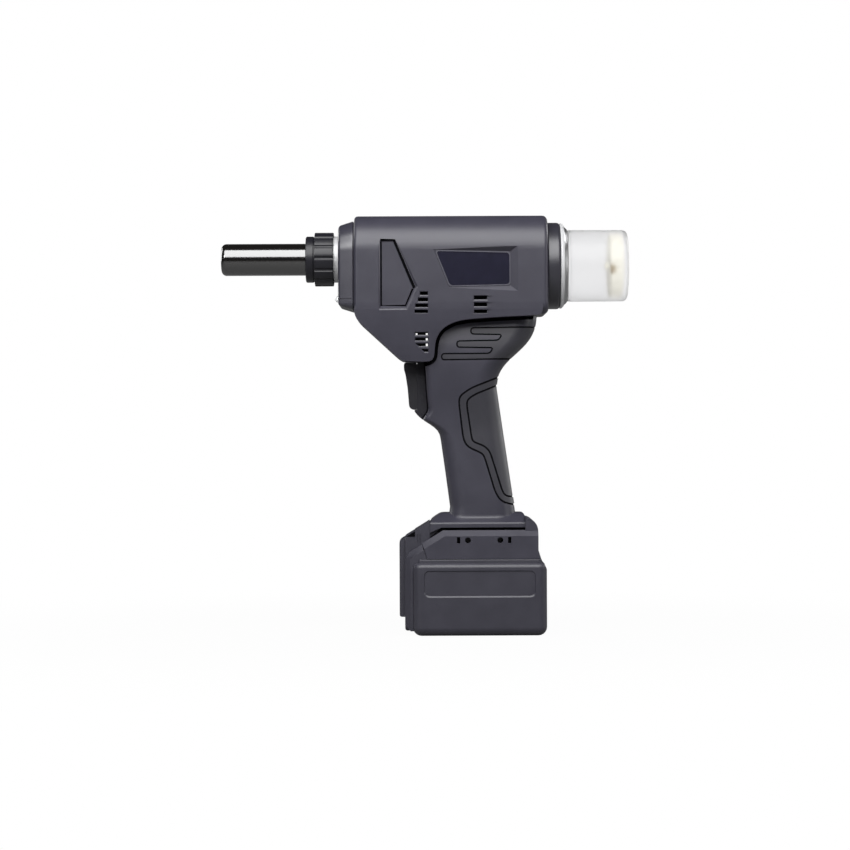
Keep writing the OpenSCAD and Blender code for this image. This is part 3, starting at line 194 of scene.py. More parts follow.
class Solid:
    """A closed mesh in the making, in millimetres."""

    def __init__(self) -> None:
        """Starts with an empty mesh."""
        self.bm = bmesh.new()

    @classmethod
    def prism(cls, outline: Line, plane: Plane, low: float, high: float) -> "Solid":
        """An outline drawn out to a thickness.

        Args:
            outline: Corners in the plane.
            plane: Plane of the outline.
            low: Depth where the solid starts.
            high: Depth where it ends.

        Returns:
            The solid.
        """
        solid = cls()
        base = solid.bm.faces.new([solid.bm.verts.new(plane.place(p, low)) for p in outline])
        grown = bmesh.ops.extrude_face_region(solid.bm, geom=[base])
        moved = [v for v in grown["geom"] if isinstance(v, bmesh.types.BMVert)]
        bmesh.ops.translate(solid.bm, verts=moved, vec=plane.place((0, 0), high - low))
        return solid.tidy()

    @classmethod
    def box(cls, x: Point, y: Point, z: Point) -> "Solid":
        """A block between two places on each axis, for cutting."""
        return cls.prism([(x[0], z[0]), (x[1], z[0]), (x[1], z[1]), (x[0], z[1])], Plane.SIDE, y[0], y[1])

    @classmethod
    def rod(cls, plane: Plane, centre: Point, radius: float, ends: Point, steps: int = 48) -> "Solid":
        """A round bar across a plane, for cutting."""
        return cls.prism(arc(centre, radius, 0, 360, steps)[:-1], plane, ends[0], ends[1])

    @classmethod
    def through(cls, outline: Line) -> "Solid":
        """An outline drawn right through the tool, for cutting."""
        return cls.prism(outline, Plane.SIDE, -REACH, REACH)

    @classmethod
    def stack(cls, plane: Plane, *levels: tuple[Line, float]) -> "Solid":
        """A skin over outlines in a plane, each at its own depth."""
        return cls.loft([[plane.place(p, depth) for p in line] for line, depth in levels])

    @classmethod
    def loft(cls, rings: Sequence[Sequence[Vector]]) -> "Solid":
        """A skin over rings of points that follow each other.

        Args:
            rings: Closed rings, each with the same number of points.

        Returns:
            The solid, closed at both ends.
        """
        solid = cls()
        last: list[bmesh.types.BMEdge] = []
        for i, ring in enumerate(rings):
            verts, edges = solid.ring(ring)
            if last:
                bmesh.ops.bridge_loops(solid.bm, edges=last + edges)
            if i in (0, len(rings) - 1):
                solid.bm.faces.new(verts)
            last = edges
        return solid.tidy()

    @classmethod
    def lathe(cls, profile: Line, height: float, steps: int = 96) -> "Solid":
        """A profile turned about a line along the tool.

        Args:
            profile: Closed line of (place along the tool, radius).
            height: Height of the line.
            steps: Number of sides.

        Returns:
            The turned solid.
        """
        solid = cls()
        verts, edges = solid.ring([(x, 0, height + r) for x, r in profile])
        bmesh.ops.spin(solid.bm, geom=verts + edges, cent=(0, 0, height), axis=(1, 0, 0), dvec=(0, 0, 0),
                       angle=2 * math.pi, steps=steps, use_merge=True, use_duplicate=False)
        solid.tidy()
        loose = [e for e in solid.bm.edges if not e.link_faces]
        bmesh.ops.delete(solid.bm, geom=loose, context="EDGES")
        return solid

    @classmethod
    def coil(cls, start: Vector, end: Vector, radius: float, wire: float, turns: int) -> "Solid":
        """A spring wound about a straight line.

        Args:
            start: Place on the line where the wire starts.
            end: Place on the line where it ends.
            radius: Radius of the middle of the wire about the line.
            wire: Thickness of the wire.
            turns: Number of turns.

        Returns:
            The spring, closed at both ends of its wire.
        """
        solid = cls()
        along = (end - start).normalized()
        out = along.orthogonal().normalized()
        turned = Matrix((out, along, out.cross(along))).transposed().to_4x4()
        bmesh.ops.create_circle(solid.bm, cap_ends=True, segments=10, radius=wire / 2,
                                matrix=Matrix.Translation(start + out * radius) @ turned)
        steps = 24 * turns
        bmesh.ops.spin(solid.bm, geom=solid.geom, cent=start, axis=along, dvec=(end - start) / steps,
                       angle=2 * math.pi * turns, steps=steps, use_duplicate=False)
        return solid.tidy()

    def ring(self, spots: Sequence[Vector | Triple],
             ) -> tuple[list[bmesh.types.BMVert], list[bmesh.types.BMEdge]]:
        """Adds a closed ring of points and returns its corners and edges."""
        verts = [self.bm.verts.new(spot) for spot in spots]
        return verts, [self.bm.edges.new((a, b)) for a, b in zip(verts, verts[1:] + verts[:1])]

    @property
    def geom(self) -> list[bmesh.types.BMVert | bmesh.types.BMEdge | bmesh.types.BMFace]:
        """Everything in the mesh."""
        return self.bm.verts[:] + self.bm.edges[:] + self.bm.faces[:]

    def tidy(self) -> "Solid":
        """Merges doubles and turns every face outwards."""
        bmesh.ops.remove_doubles(self.bm, verts=self.bm.verts, dist=NEAR)
        bmesh.ops.dissolve_degenerate(self.bm, edges=self.bm.edges, dist=TOUCHING)
        bmesh.ops.recalc_face_normals(self.bm, faces=self.bm.faces)
        return self

    def bevel(self, pick: Pick, width: float, steps: int = 4) -> "Solid":
        """Rounds chosen edges.

        Args:
            pick: Tells from an edge's two ends whether it is rounded.
            width: Width of the rounding.
            steps: Number of strips in it.

        Returns:
            This solid.
        """
        edges = [e for e in self.bm.edges if pick(e.verts[0].co, e.verts[1].co)]
        bmesh.ops.bevel(self.bm, geom=edges, offset=width, offset_type="OFFSET", segments=steps, profile=0.5,
                        affect="EDGES", clamp_overlap=True, material=-1)
        return self

    def moved(self, shift: Callable[[Vector], Vector]) -> "Solid":
        """Moves every corner to where a rule puts it."""
        for vert in self.bm.verts:
            vert.co = shift(vert.co)
        return self

    def sliced(self, height: float) -> "Solid":
        """Adds a ring of edges at a height."""
        bmesh.ops.bisect_plane(self.bm, geom=self.geom, dist=TOUCHING, plane_co=(0, 0, height),
                               plane_no=(0, 0, 1))
        return self

    def half(self, lip: float) -> "Solid":
        """Keeps the side towards -Y, with a small chamfer along the parting line.

        Args:
            lip: Width of the chamfer.

        Returns:
            This solid.
        """
        cut = bmesh.ops.bisect_plane(self.bm, geom=self.geom, dist=TOUCHING, plane_co=(0, -lip, 0),
                                     plane_no=(0, 1, 0), clear_outer=True)
        rim = [e for e in cut["geom_cut"] if isinstance(e, bmesh.types.BMEdge)]
        filled = bmesh.ops.edgeloop_fill(self.bm, edges=rim)["faces"]
        bmesh.ops.recalc_face_normals(self.bm, faces=self.bm.faces)
        bmesh.ops.inset_region(self.bm, faces=filled, thickness=lip, depth=lip, use_even_offset=True)
        return self

    def copy(self) -> "Solid":
        """Returns a copy."""
        other = Solid()
        other.bm = self.bm.copy()
        return other

    def mirrored(self) -> "Solid":
        """Returns a copy on the other side of the tool."""
        other = self.copy()
        bmesh.ops.scale(other.bm, vec=(1, -1, 1), verts=other.bm.verts)
        bmesh.ops.reverse_faces(other.bm, faces=other.bm.faces)
        return other

    def _object(self, name: str) -> bpy.types.Object:
        """Returns a working object with a copy of the mesh."""
        mesh = bpy.data.meshes.new(name)
        self.bm.to_mesh(mesh)
        obj = bpy.data.objects.new(name, mesh)
        bpy.context.scene.collection.objects.link(obj)
        return obj

    def combine(self, join: Join, *others: "Solid") -> "Solid":
        """Joins, cuts or overlaps this solid with others, in order.

        Args:
            join: What to do.
            others: The solids that act on this one.

        Returns:
            This solid.
        """
        base = self._object("work")
        tools = [other._object("tool") for other in others]
        for tool in tools:
            step = base.modifiers.new("step", "BOOLEAN")
            step.operation, step.solver, step.object = join.value, "MANIFOLD", tool
        bpy.context.view_layer.update()
        found = base.evaluated_get(bpy.context.evaluated_depsgraph_get())
        mesh = bpy.data.meshes.new_from_object(found)
        self.bm.clear()
        self.bm.from_mesh(mesh)
        for obj in [base, *tools]:
            old = obj.data
            bpy.data.objects.remove(obj)
            bpy.data.meshes.remove(old)
        bpy.data.meshes.remove(mesh)
        return self

    def add(self, *others: "Solid") -> "Solid":
        """Joins other solids to this one."""
        return self.combine(Join.ADD, *others)

    def cut(self, *others: "Solid") -> "Solid":
        """Takes other solids away from this one."""
        return self.combine(Join.CUT, *others)

    def common(self, *others: "Solid") -> "Solid":
        """Keeps what this solid shares with others."""
        return self.combine(Join.COMMON, *others)

    def piece(self, name: str, finish: "Finish", body: str, slot: str, *nodes: str, crease: float = 32,
              ) -> bpy.types.Object:
        """Makes the finished object and sets it on its body.

        Args:
            name: Name of the piece.
            finish: Its surface.
            body: Body that it rides on.
            slot: Material slot of the record; not used.
            nodes: Nodes that it stands for.
            crease: Angle above which an edge stays sharp, in degrees.

        Returns:
            The object.
        """
        open_edges = sum(not e.is_manifold for e in self.bm.edges)
        bmesh.ops.scale(self.bm, vec=(MM, MM, MM), verts=self.bm.verts)
        obj = self._object(name)
        obj.data.shade_smooth()
        obj.data.set_sharp_from_angle(angle=math.radians(crease))
        obj.data.materials.append(finish.material())
        obj.modifiers.new("even_shading", "WEIGHTED_NORMAL").keep_sharp = True
        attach(obj, body)
        if nodes:
            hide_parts(*nodes)
        log.info("%s: %d faces, %d open edges", name, len(obj.data.polygons), open_edges)
        self.bm.free()
        return obj


@dataclass(frozen=True)
class Wire:
    """A value in a material that takes part in sums."""

    shader: "Shader"
    socket: bpy.types.NodeSocket

    def _math(self, operation: str, first: "Wire | float", second: "Wire | float") -> "Wire":
        """Returns the result of one Math node."""
        node = self.shader.node("ShaderNodeMath", {"operation": operation}, {0: first, 1: second})
        return Wire(self.shader, node.outputs[0])

    def __add__(self, other: "Wire | float") -> "Wire":
        """Returns the sum."""
        return self._math("ADD", self, other)

    __radd__ = __add__

    def __sub__(self, other: "Wire | float") -> "Wire":
        """Returns the difference."""
        return self._math("SUBTRACT", self, other)

    def __rsub__(self, other: float) -> "Wire":
        """Returns a number less this value."""
        return self._math("SUBTRACT", other, self)

    def __mul__(self, other: "Wire | float") -> "Wire":
        """Returns the product."""
        return self._math("MULTIPLY", self, other)

    __rmul__ = __mul__

    def most(self, other: "Wire | float") -> "Wire":
        """Returns the larger of two values."""
        return self._math("MAXIMUM", self, other)


class Shader:
    """The node tree of one material, or of the world."""

    def __init__(self, data: bpy.types.Material | bpy.types.World, kind: str = "Material") -> None:
        """Starts with nothing but the output."""
        self.data = data
        self.data.use_nodes = True
        self.tree = self.data.node_tree
        self.tree.nodes.clear()
        self.out = self.node(f"ShaderNodeOutput{kind}")

    @cached_property
    def spots(self) -> bpy.types.NodeSocket:
        """Places on the surface, in the piece's own frame."""
        return self.node("ShaderNodeTexCoord").outputs["Object"]

    def node(self, kind: str, settings: dict[str, object] | None = None,
             sockets: dict[str | int, object] | None = None) -> bpy.types.Node:
        """Adds a node.

        Args:
            kind: Its type.
            settings: Values set on the node itself.
            sockets: Values or links of its inputs.

        Returns:
            The node.
        """
        node = self.tree.nodes.new(kind)
        for key, value in (settings or {}).items():
            setattr(node, key, value)
        for key, value in (sockets or {}).items():
            socket = node.inputs[key]
            if isinstance(value, Wire):
                self.tree.links.new(value.socket, socket)
            elif isinstance(value, bpy.types.NodeSocket):
                self.tree.links.new(value, socket)
            else:
                socket.default_value = value
        return node

    def noise(self, size: float, detail: float = 2, stretch: Triple = (1, 1, 1)) -> Wire:
        """A cloudy value over the surface.

        Args:
            size: Size of a cloud in millimetres.
            detail: Number of finer layers.
            stretch: Scale of the pattern along each axis.

        Returns:
            The value, from 0 to 1.
        """
        spots = self.node("ShaderNodeMapping", None, {"Vector": self.spots, "Scale": stretch}).outputs[0]
        node = self.node("ShaderNodeTexNoise", None,
                         {"Vector": spots, "Scale": 1 / (size * MM), "Detail": detail})
        return Wire(self, node.outputs["Fac"])

    def blend(self, amount: Wire, low: Triple | bpy.types.NodeSocket, high: Triple | bpy.types.NodeSocket,
              ) -> bpy.types.NodeSocket:
        """Returns a colour between two."""
        ends = [(*end, 1) if isinstance(end, tuple) else end for end in (low, high)]
        node = self.node("ShaderNodeMix", {"data_type": "RGBA"}, {"Factor": amount, "A": ends[0], "B": ends[1]})
        return node.outputs["Result"]

    def slope(self, value: bpy.types.NodeSocket, start: float, end: float, low: float = 0.0,
              high: float = 1.0) -> Wire:
        """A value that changes smoothly along another.

        Args:
            value: What it follows.
            start: Where it starts to change.
            end: Where it stops.
            low: Its first value.
            high: Its last value.

        Returns:
            The value.
        """
        node = self.node("ShaderNodeMapRange", {"interpolation_type": "SMOOTHSTEP"}, {
            "Value": value, "From Min": start, "From Max": end, "To Min": low, "To Max": high})
        return Wire(self, node.outputs[0])

    def relief(self, height: Wire, depth: float, strength: float) -> bpy.types.NodeSocket:
        """Returns normals for a fine relief, its depth in millimetres."""
        node = self.node("ShaderNodeBump", None,
                         {"Height": height, "Distance": depth * MM, "Strength": strength})
        return node.outputs["Normal"]

    def end(self, node: bpy.types.Node) -> bpy.types.Material | bpy.types.World:
        """Shows a node's result and returns the finished material or world."""
        self.tree.links.new(node.outputs[0], self.out.inputs["Surface"])
        return self.data

    def surface(self, sockets: dict[str | int, object]) -> bpy.types.Material:
        """Adds the surface itself and returns the material."""
        return self.end(self.node("ShaderNodeBsdfPrincipled", None, sockets))


def tint(colour: Triple, share: float) -> Triple:
    """Returns a colour made lighter or darker."""
    return (colour[0] * share, colour[1] * share, colour[2] * share)


@dataclass(frozen=True)
class Finish:
    """A surface with a name and a colour."""

    name: str
    colour: Triple
    roughness: float = 0.5

    def material(self) -> bpy.types.Material:
        """Returns the material, made once."""
        return bpy.data.materials.get(self.name) or self.make(Shader(bpy.data.materials.new(self.name)))

    def make(self, shader: Shader) -> bpy.types.Material:
        """Fills in the material and returns it."""
        cloud = shader.noise(9, 3)
        return shader.surface({
            "Base Color": shader.blend(cloud, tint(self.colour, 0.88), tint(self.colour, 1.1)),
            "Roughness": cloud * 0.1 + (self.roughness - 0.05),
        })


@dataclass(frozen=True)
class MouldedPlastic(Finish):
    """Plastic with a spark-eroded grain."""

    grain: float = 0.35
    relief: float = 0.3
    shine: float = 0.32

    def make(self, shader: Shader) -> bpy.types.Material:
        """Fills in the material and returns it."""
        grain = shader.noise(self.grain, 2)
        cloud = shader.noise(14, 3)
        rubbed = shader.noise(2.2, 4)
        shade = cloud * 0.6 + grain * 0.25 + rubbed * 0.15
        return shader.surface({
            "Base Color": shader.blend(shade, tint(self.colour, 0.74), tint(self.colour, 1.28)),
            "Roughness": cloud * 0.1 + rubbed * 0.08 + (self.roughness - 0.09),
            "Specular IOR Level": self.shine,
            "Normal": shader.relief(grain, 0.05, self.relief),
        })


@dataclass(frozen=True)
class SoftRubber(Finish):
    """Rubber with a fine stipple."""

    sheen: float = 0.03
    shine: float = 0.3

    def make(self, shader: Shader) -> bpy.types.Material:
        """Fills in the material and returns it."""
        stipple = shader.noise(0.5, 1)
        cloud = shader.noise(11, 3)
        return shader.surface({
            "Base Color": shader.blend(cloud, tint(self.colour, 0.84), tint(self.colour, 1.16)),
            "Roughness": stipple * 0.12 + (self.roughness - 0.06),
            "Specular IOR Level": self.shine,
            "Normal": shader.relief(stipple, 0.06, 0.3),
            "Sheen Weight": self.sheen,
            "Sheen Roughness": 0.6,
        })


@dataclass(frozen=True)
class TurnedMetal(Finish):
    """Metal turned about the tool's length."""

    marks: float = 0.12
    relief: float = 0.1

    def make(self, shader: Shader) -> bpy.types.Material:
        """Fills in the material and returns it."""
        marks = shader.noise(self.marks * 20, 2, (20, 0.4, 0.4))
        cloud = shader.noise(7, 3)
        return shader.surface({
            "Base Color": shader.blend(cloud, tint(self.colour, 0.9), self.colour),
            "Metallic": 1.0,
            "Roughness": marks * 0.1 + cloud * 0.06 + (self.roughness - 0.08),
            "Normal": shader.relief(marks, 0.02, self.relief),
        })


@dataclass(frozen=True)
class SteppedMetal(Finish):
    """Ring metal: blasted as far as a step, polished behind it."""

    step: Point = (104.4, 105.0)
    blasted: float = 0.5
    polish: float = 1.0

    def make(self, shader: Shader) -> bpy.types.Material:
        """Fills in the material and returns it."""
        marks = shader.noise(2.4, 2, (20, 0.4, 0.4))
        cloud = shader.noise(7, 3)
        place = shader.node("ShaderNodeSeparateXYZ", None, {"Vector": shader.spots}).outputs["X"]
        share = shader.slope(place, self.step[0] * MM, self.step[1] * MM)
        dull = shader.blend(cloud, tint(self.colour, 0.38), tint(self.colour, 0.44))
        bright = shader.blend(cloud, tint(self.colour, 0.92 * self.polish), tint(self.colour, self.polish))
        return shader.surface({
            "Base Color": shader.blend(share, dull, bright),
            "Metallic": share * 0.7 + 0.3,
            "Roughness": share * (self.roughness - self.blasted) + marks * 0.08 + (self.blasted - 0.04),
            "Normal": shader.relief(marks, 0.01, 0.05),
        })


@dataclass(frozen=True)
class BlackGloss(Finish):
    """Polished black coat over metal."""

    ior: float = 1.6
    coat: float = 0.0
    shine: float = 0.5

    def make(self, shader: Shader) -> bpy.types.Material:
        """Fills in the material and returns it."""
        cloud = shader.noise(6, 3)
        rub = shader.noise(1.5, 3, (0.3, 1, 1))
        return shader.surface({
            "Base Color": shader.blend(cloud, tint(self.colour, 0.7), tint(self.colour, 1.3)),
            "Roughness": rub * 0.05 + (self.roughness - 0.02),
            "IOR": self.ior,
            "Specular IOR Level": self.shine,
            "Coat Weight": self.coat,
            "Coat Roughness": 0.08,
        })


@dataclass(frozen=True)
class ClearPlastic(Finish):
    """Plastic that lets light through."""

    through: float = 0.9
    ior: float = 1.45

    def make(self, shader: Shader) -> bpy.types.Material:
        """Fills in the material and returns it."""
        cloud = shader.noise(8, 3)
        return shader.surface({
            "Base Color": shader.blend(cloud, tint(self.colour, 0.97), self.colour),
            "Roughness": cloud * 0.06 + (self.roughness - 0.03),
            "Transmission Weight": self.through,
            "IOR": self.ior,
        })


@dataclass(frozen=True)
class StainedFoam(Finish):
    """Cream foam with a brown mark where mandrels hit it, and a faint painted glow in its own colour."""

    mark: Triple = (0.44, 0.37, 0.26)
    spot: Triple = (0.1400, -0.0234, 0.2728)

    def make(self, shader: Shader) -> bpy.types.Material:
        """Fills in the material and returns it."""
        cell = shader.noise(1.2, 3)
        cloud = shader.noise(8, 3)
        away = shader.node("ShaderNodeVectorMath", {"operation": "DISTANCE"}, {0: shader.spots, 1: self.spot})
        near = shader.slope(away.outputs["Value"], 0.001, 0.006, 1.0, 0.0)
        plain = shader.blend(cloud * 0.7 + cell * 0.3, tint(self.colour, 0.86), self.colour)
        stained = shader.blend(near * 0.9, plain, self.mark)
        return shader.surface({
            "Base Color": stained,
            "Roughness": cell * 0.1 + 0.75,
            # Emission: a painted glow, standing in for light that passes through the foam; the brown mark is a
            # real stain.
            "Emission Color": stained,
            "Emission Strength": 0.2,
            "Normal": shader.relief(cell, 0.2, 0.4),
        })


HOUSING = MouldedPlastic("housing_plastic_grain", (0.0178, 0.0171, 0.0246), 0.42)
CASE = MouldedPlastic("battery_plastic_grain", (0.0172, 0.0166, 0.0232), 0.42)
BEZEL = MouldedPlastic("bezel_plastic_grain", (0.0160, 0.0154, 0.0222), 0.34, 0.35, 0.2, 0.5)
RUBBER = SoftRubber("grip_rubber", (0.0135, 0.0131, 0.0175), 0.46)
# Painted shade: near-black, dull sheets set at the floors of grooves, gaps and notches to darken them.
GROOVE_SHADE = SoftRubber("painted_groove_shade", (0.0015, 0.0015, 0.002), 0.8, 0.0, 0.02)
TRIGGER = MouldedPlastic("trigger_plastic", (0.0065, 0.0062, 0.0088), 0.42, 0.35, 0.3, 0.22)
TRIGGER_RUBBER = SoftRubber("trigger_rubber", (0.0045, 0.0043, 0.0062), 0.46, 0.02, 0.22)
FILM = BlackGloss("plate_film_satin", (0.0062, 0.0060, 0.0122), 0.2, 1.45, 0.0, 0.4)
NOSE = BlackGloss("nose_black_polish", (0.0020, 0.0016, 0.0014), 0.13, 1.85, 0.0)
LOCK = BlackGloss("lock_ring_black", (0.0045, 0.0043, 0.0064), 0.36, 1.5, 0.0, 0.26)
# Painted highlight: the plates' raised edges are real, but their lighter plastic stands in for light caught
# along them.
EDGE = MouldedPlastic("plate_edge_painted_highlight", (0.032, 0.031, 0.041), 0.38, 0.35, 0.2, 0.45)
CAP = MouldedPlastic("cap_satin_black", (0.0120, 0.0117, 0.0160), 0.36, 0.3, 0.12, 0.42)
CHROME = SteppedMetal("container_ring_metal", (0.86, 0.865, 0.88), 0.3, polish=0.36)
CAST = SteppedMetal("cast_aluminium_blasted", (0.93, 0.93, 0.95), 0.45, (400, 401))
STEEL = TurnedMetal("machined_steel", (0.52, 0.53, 0.55), 0.32, 0.2, 0.3)
SCREW = TurnedMetal("black_screw", (0.14, 0.14, 0.15), 0.38, 0.2, 0.2)
WIRE = TurnedMetal("drawn_spring_wire", (0.58, 0.59, 0.6), 0.26)
INNER = MouldedPlastic("inner_moulding", (0.05, 0.05, 0.055), 0.6)
BOARD = Finish("solder_mask", (0.03, 0.16, 0.06), 0.4)
CELL = Finish("cell_wrap", (0.1, 0.24, 0.45), 0.35)
FROSTED = ClearPlastic("frosted_container", (0.92, 0.92, 0.925), 0.3, 1.0, 1.2)
LENS = ClearPlastic("lamp_lens_clear", (0.9, 0.91, 0.92), 0.08, 0.35, 1.49)
FOAM = StainedFoam("cream_foam", (0.94, 0.92, 0.82))


@dataclass
class Studio:
    """Floor, light and camera."""

    distance: float = 2.04
    height: float = 0.1568
    span: float = 0.642
    roll: float = 0.25
    floor_size: float = 6.0
    ambient: float = 0.14
    mirrored: float = 0.04

    def build(self) -> None:
        """Sets up everything round the object."""
        bpy.context.scene.view_settings.view_transform = "Standard"
        self.world()
        self.floor()
        self.lamp("key_panel", (-0.02, -0.75, 1.02), (-0.02, 0, 0.27), (1.5, 1.05), 47)
        self.lamp("left_panel", (-1.2, -1.5, 1.0), (-0.05, 0, 0.27), (0.5, 0.5), 15)
        self.lamp("right_panel", (1.7, -0.3, 0.7), (0, 0, 0.2), (0.5, 1.2), 9)
        for name, side in (("rear_left_panel", -1), ("rear_right_panel", 1)):
            self.lamp(name, (1.5 * side, 1.15, 0.75), (0, 0, 0.2), (0.7, 0.9), 14)
        self.camera()

    def world(self) -> None:
        """Pale room: white behind the object, softer as a light."""
        room = Shader(bpy.data.worlds.new("pale_room"), "World")
        path = {name: Wire(room, socket) for name, socket in room.node("ShaderNodeLightPath").outputs.items()}
        shown = path["Is Camera Ray"].most(path["Is Transmission Ray"])
        light = path["Is Glossy Ray"] * (self.mirrored - self.ambient) + self.ambient
        white = room.node("ShaderNodeBackground", None, {"Color": (1, 1, 1, 1), "Strength": light.most(shown)})
        bpy.context.scene.world = room.end(white)

    def floor(self) -> None:
        """A pale floor that shows white and keeps the shadow."""
        grid = bmesh.new()
        bmesh.ops.create_grid(grid, x_segments=4, y_segments=4, size=self.floor_size)
        bmesh.ops.translate(grid, verts=grid.verts, vec=(0, 0, -0.0002))
        mesh = bpy.data.meshes.new("floor")
        grid.to_mesh(mesh)
        grid.free()
        obj = bpy.data.objects.new("floor", mesh)
        bpy.context.scene.collection.objects.link(obj)
        shader = Shader(bpy.data.materials.new("pale_floor"))
        cloud = shader.noise(600, 2)
        board = shader.node("ShaderNodeBsdfDiffuse", None,
                            {"Color": shader.blend(cloud, (0.21, 0.21, 0.21), (0.23, 0.23, 0.23))})
        glow = shader.node("ShaderNodeEmission", None, {"Color": (1, 1, 1, 1), "Strength": 1.0})
        path = shader.node("ShaderNodeLightPath")
        away = shader.node("ShaderNodeVectorMath", {"operation": "LENGTH"}, {0: shader.spots})
        white = shader.slope(away.outputs["Value"], 0.12, 0.6, 0.97, 1.0)
        seen = Wire(shader, path.outputs["Is Camera Ray"]) + Wire(shader, path.outputs["Is Transmission Ray"])
        mix = shader.node("ShaderNodeMixShader", None,
                          {0: seen * white, 1: board.outputs[0], 2: glow.outputs[0]})
        mesh.materials.append(shader.end(mix))

    def lamp(self, name: str, place: Triple, target: Triple, size: Point, power: float) -> None:
        """Adds a soft panel light.

        Args:
            name: Its name.
            place: Where it stands.
            target: Where it points.
            size: Width and height.
            power: Its power in watts.
        """
        data = bpy.data.lights.new(name, "AREA")
        data.shape = "RECTANGLE"
        data.size, data.size_y, data.energy = size[0], size[1], power
        obj = bpy.data.objects.new(name, data)
        bpy.context.scene.collection.objects.link(obj)
        obj.location = place
        obj.rotation_euler = (Vector(target) - Vector(place)).to_track_quat("-Z", "Y").to_euler()
        obj.visible_camera = False
        obj.visible_transmission = False

    def camera(self) -> None:
        """The photograph's view, with its slight roll."""
        data = bpy.data.cameras.new("camera")
        data.sensor_fit = "HORIZONTAL"
        data.angle = 2 * math.atan(self.span / 2 / self.distance)
        obj = bpy.data.objects.new("camera", data)
        bpy.context.scene.collection.objects.link(obj)
        tilt = math.radians(self.roll)
        right = Vector((math.cos(tilt), 0, -math.sin(tilt)))
        up = Vector((math.sin(tilt), 0, math.cos(tilt)))
        back = Vector((0, -1, 0))
        turn = Matrix((right, up, back)).transposed().to_4x4()
        obj.matrix_world = Matrix.Translation((0, -self.distance, self.height)) @ turn
        bpy.context.scene.camera = obj


@dataclass
class Barrel:
    """Outer form of the head."""

    front: float = -52.5
    rear: float = 92.25
    low: float = 239.0
    high: float = 313.8
    half: float = 36.0
    top_r: float = 27.0
    low_r: float = 9.0

    @property
    def middle(self) -> float:
        """Height of the barrel's middle."""
        return (self.low + self.high) / 2

    def section(self, inset: float, side: float | None = None) -> Outline:
        """Cross-section, drawn in by an inset.

        Args:
            inset: How far it is drawn in.
            side: The same for the flat sides, where it differs.

        Returns:
            The outline in the front view.
        """
        half = self.half - (inset if side is None else side)
        top, foot = self.top_r - inset, max(0.6, self.low_r - inset)
        heights = (self.low + inset, self.high - inset)
        return rounded((-half, half), heights, (top, top, foot, foot), (14, 14, 6, 6), -1)

    def form(self) -> Solid:
        """Returns the barrel with rounded ends."""
        solid = Solid.prism(self.section(0), Plane.FRONT, self.front, self.rear)
        for x, width in ((self.front, 2.8), (self.rear, 3.8)):
            solid.bevel(edges_at(0, x), width, 5)
        return solid


# Where the belly's lower edge meets the handle.
WEB_CURVE: Line = (
    (7.1, 207.7), (7.5, 214.5), (8.5, 221.2), (13, 228.4), (22.4, 233.6), (33.2, 235.4), (52, 236.7))


@dataclass
class Belly:
    """Outer form under the front of the barrel, as wide as the barrel at its top."""

    barrel: Barrel
    low: float = 203.9
    low_half: float = 30.0
    flush: float = 248.0
    slice: float = 5.5
    outline: Line = (
        (-49.2, 262), (-49.2, 250), (-52.4, 244), (-52.4, 241), (-50.6, 235.4), (-19.2, 206.4), (-15.3, 204.4),
        (2.0, 203.9), (5.1, 204.7), *WEB_CURVE, (88, 238.4), (88, 262))

    def half_at(self, height: float) -> float:
        """Returns the half width at a height."""
        share = 1 - min(1.0, (height - self.low) / (self.flush - self.low))
        return self.barrel.half - (self.barrel.half - self.low_half) * share ** 1.7

    def form(self) -> Solid:
        """Returns the belly with rounded lower edges."""
        line = fillet(self.outline, 4.5, 3)
        solid = Solid.prism(line, Plane.SIDE, -self.barrel.half, self.barrel.half)
        for i in range(8):
            solid.sliced(self.flush - self.slice * i)
        solid.moved(lambda p: Vector((p.x, math.copysign(self.half_at(p.z) - 0.01, p.y), p.z)))

        def side_rim(a: Vector, b: Vector) -> bool:
            """Tells whether an edge runs along the lower rim of one side."""
            inside = max(a.z, b.z) > self.flush - 0.01
            sliced = abs(a.x - b.x) > 30 or round((self.flush - a.z) / self.slice, 3) % 1 == 0
            return on_one_side(a, b) and not inside and not (abs(a.z - b.z) < 1e-3 and sliced)

        return solid.bevel(side_rim, 2.6, 4)


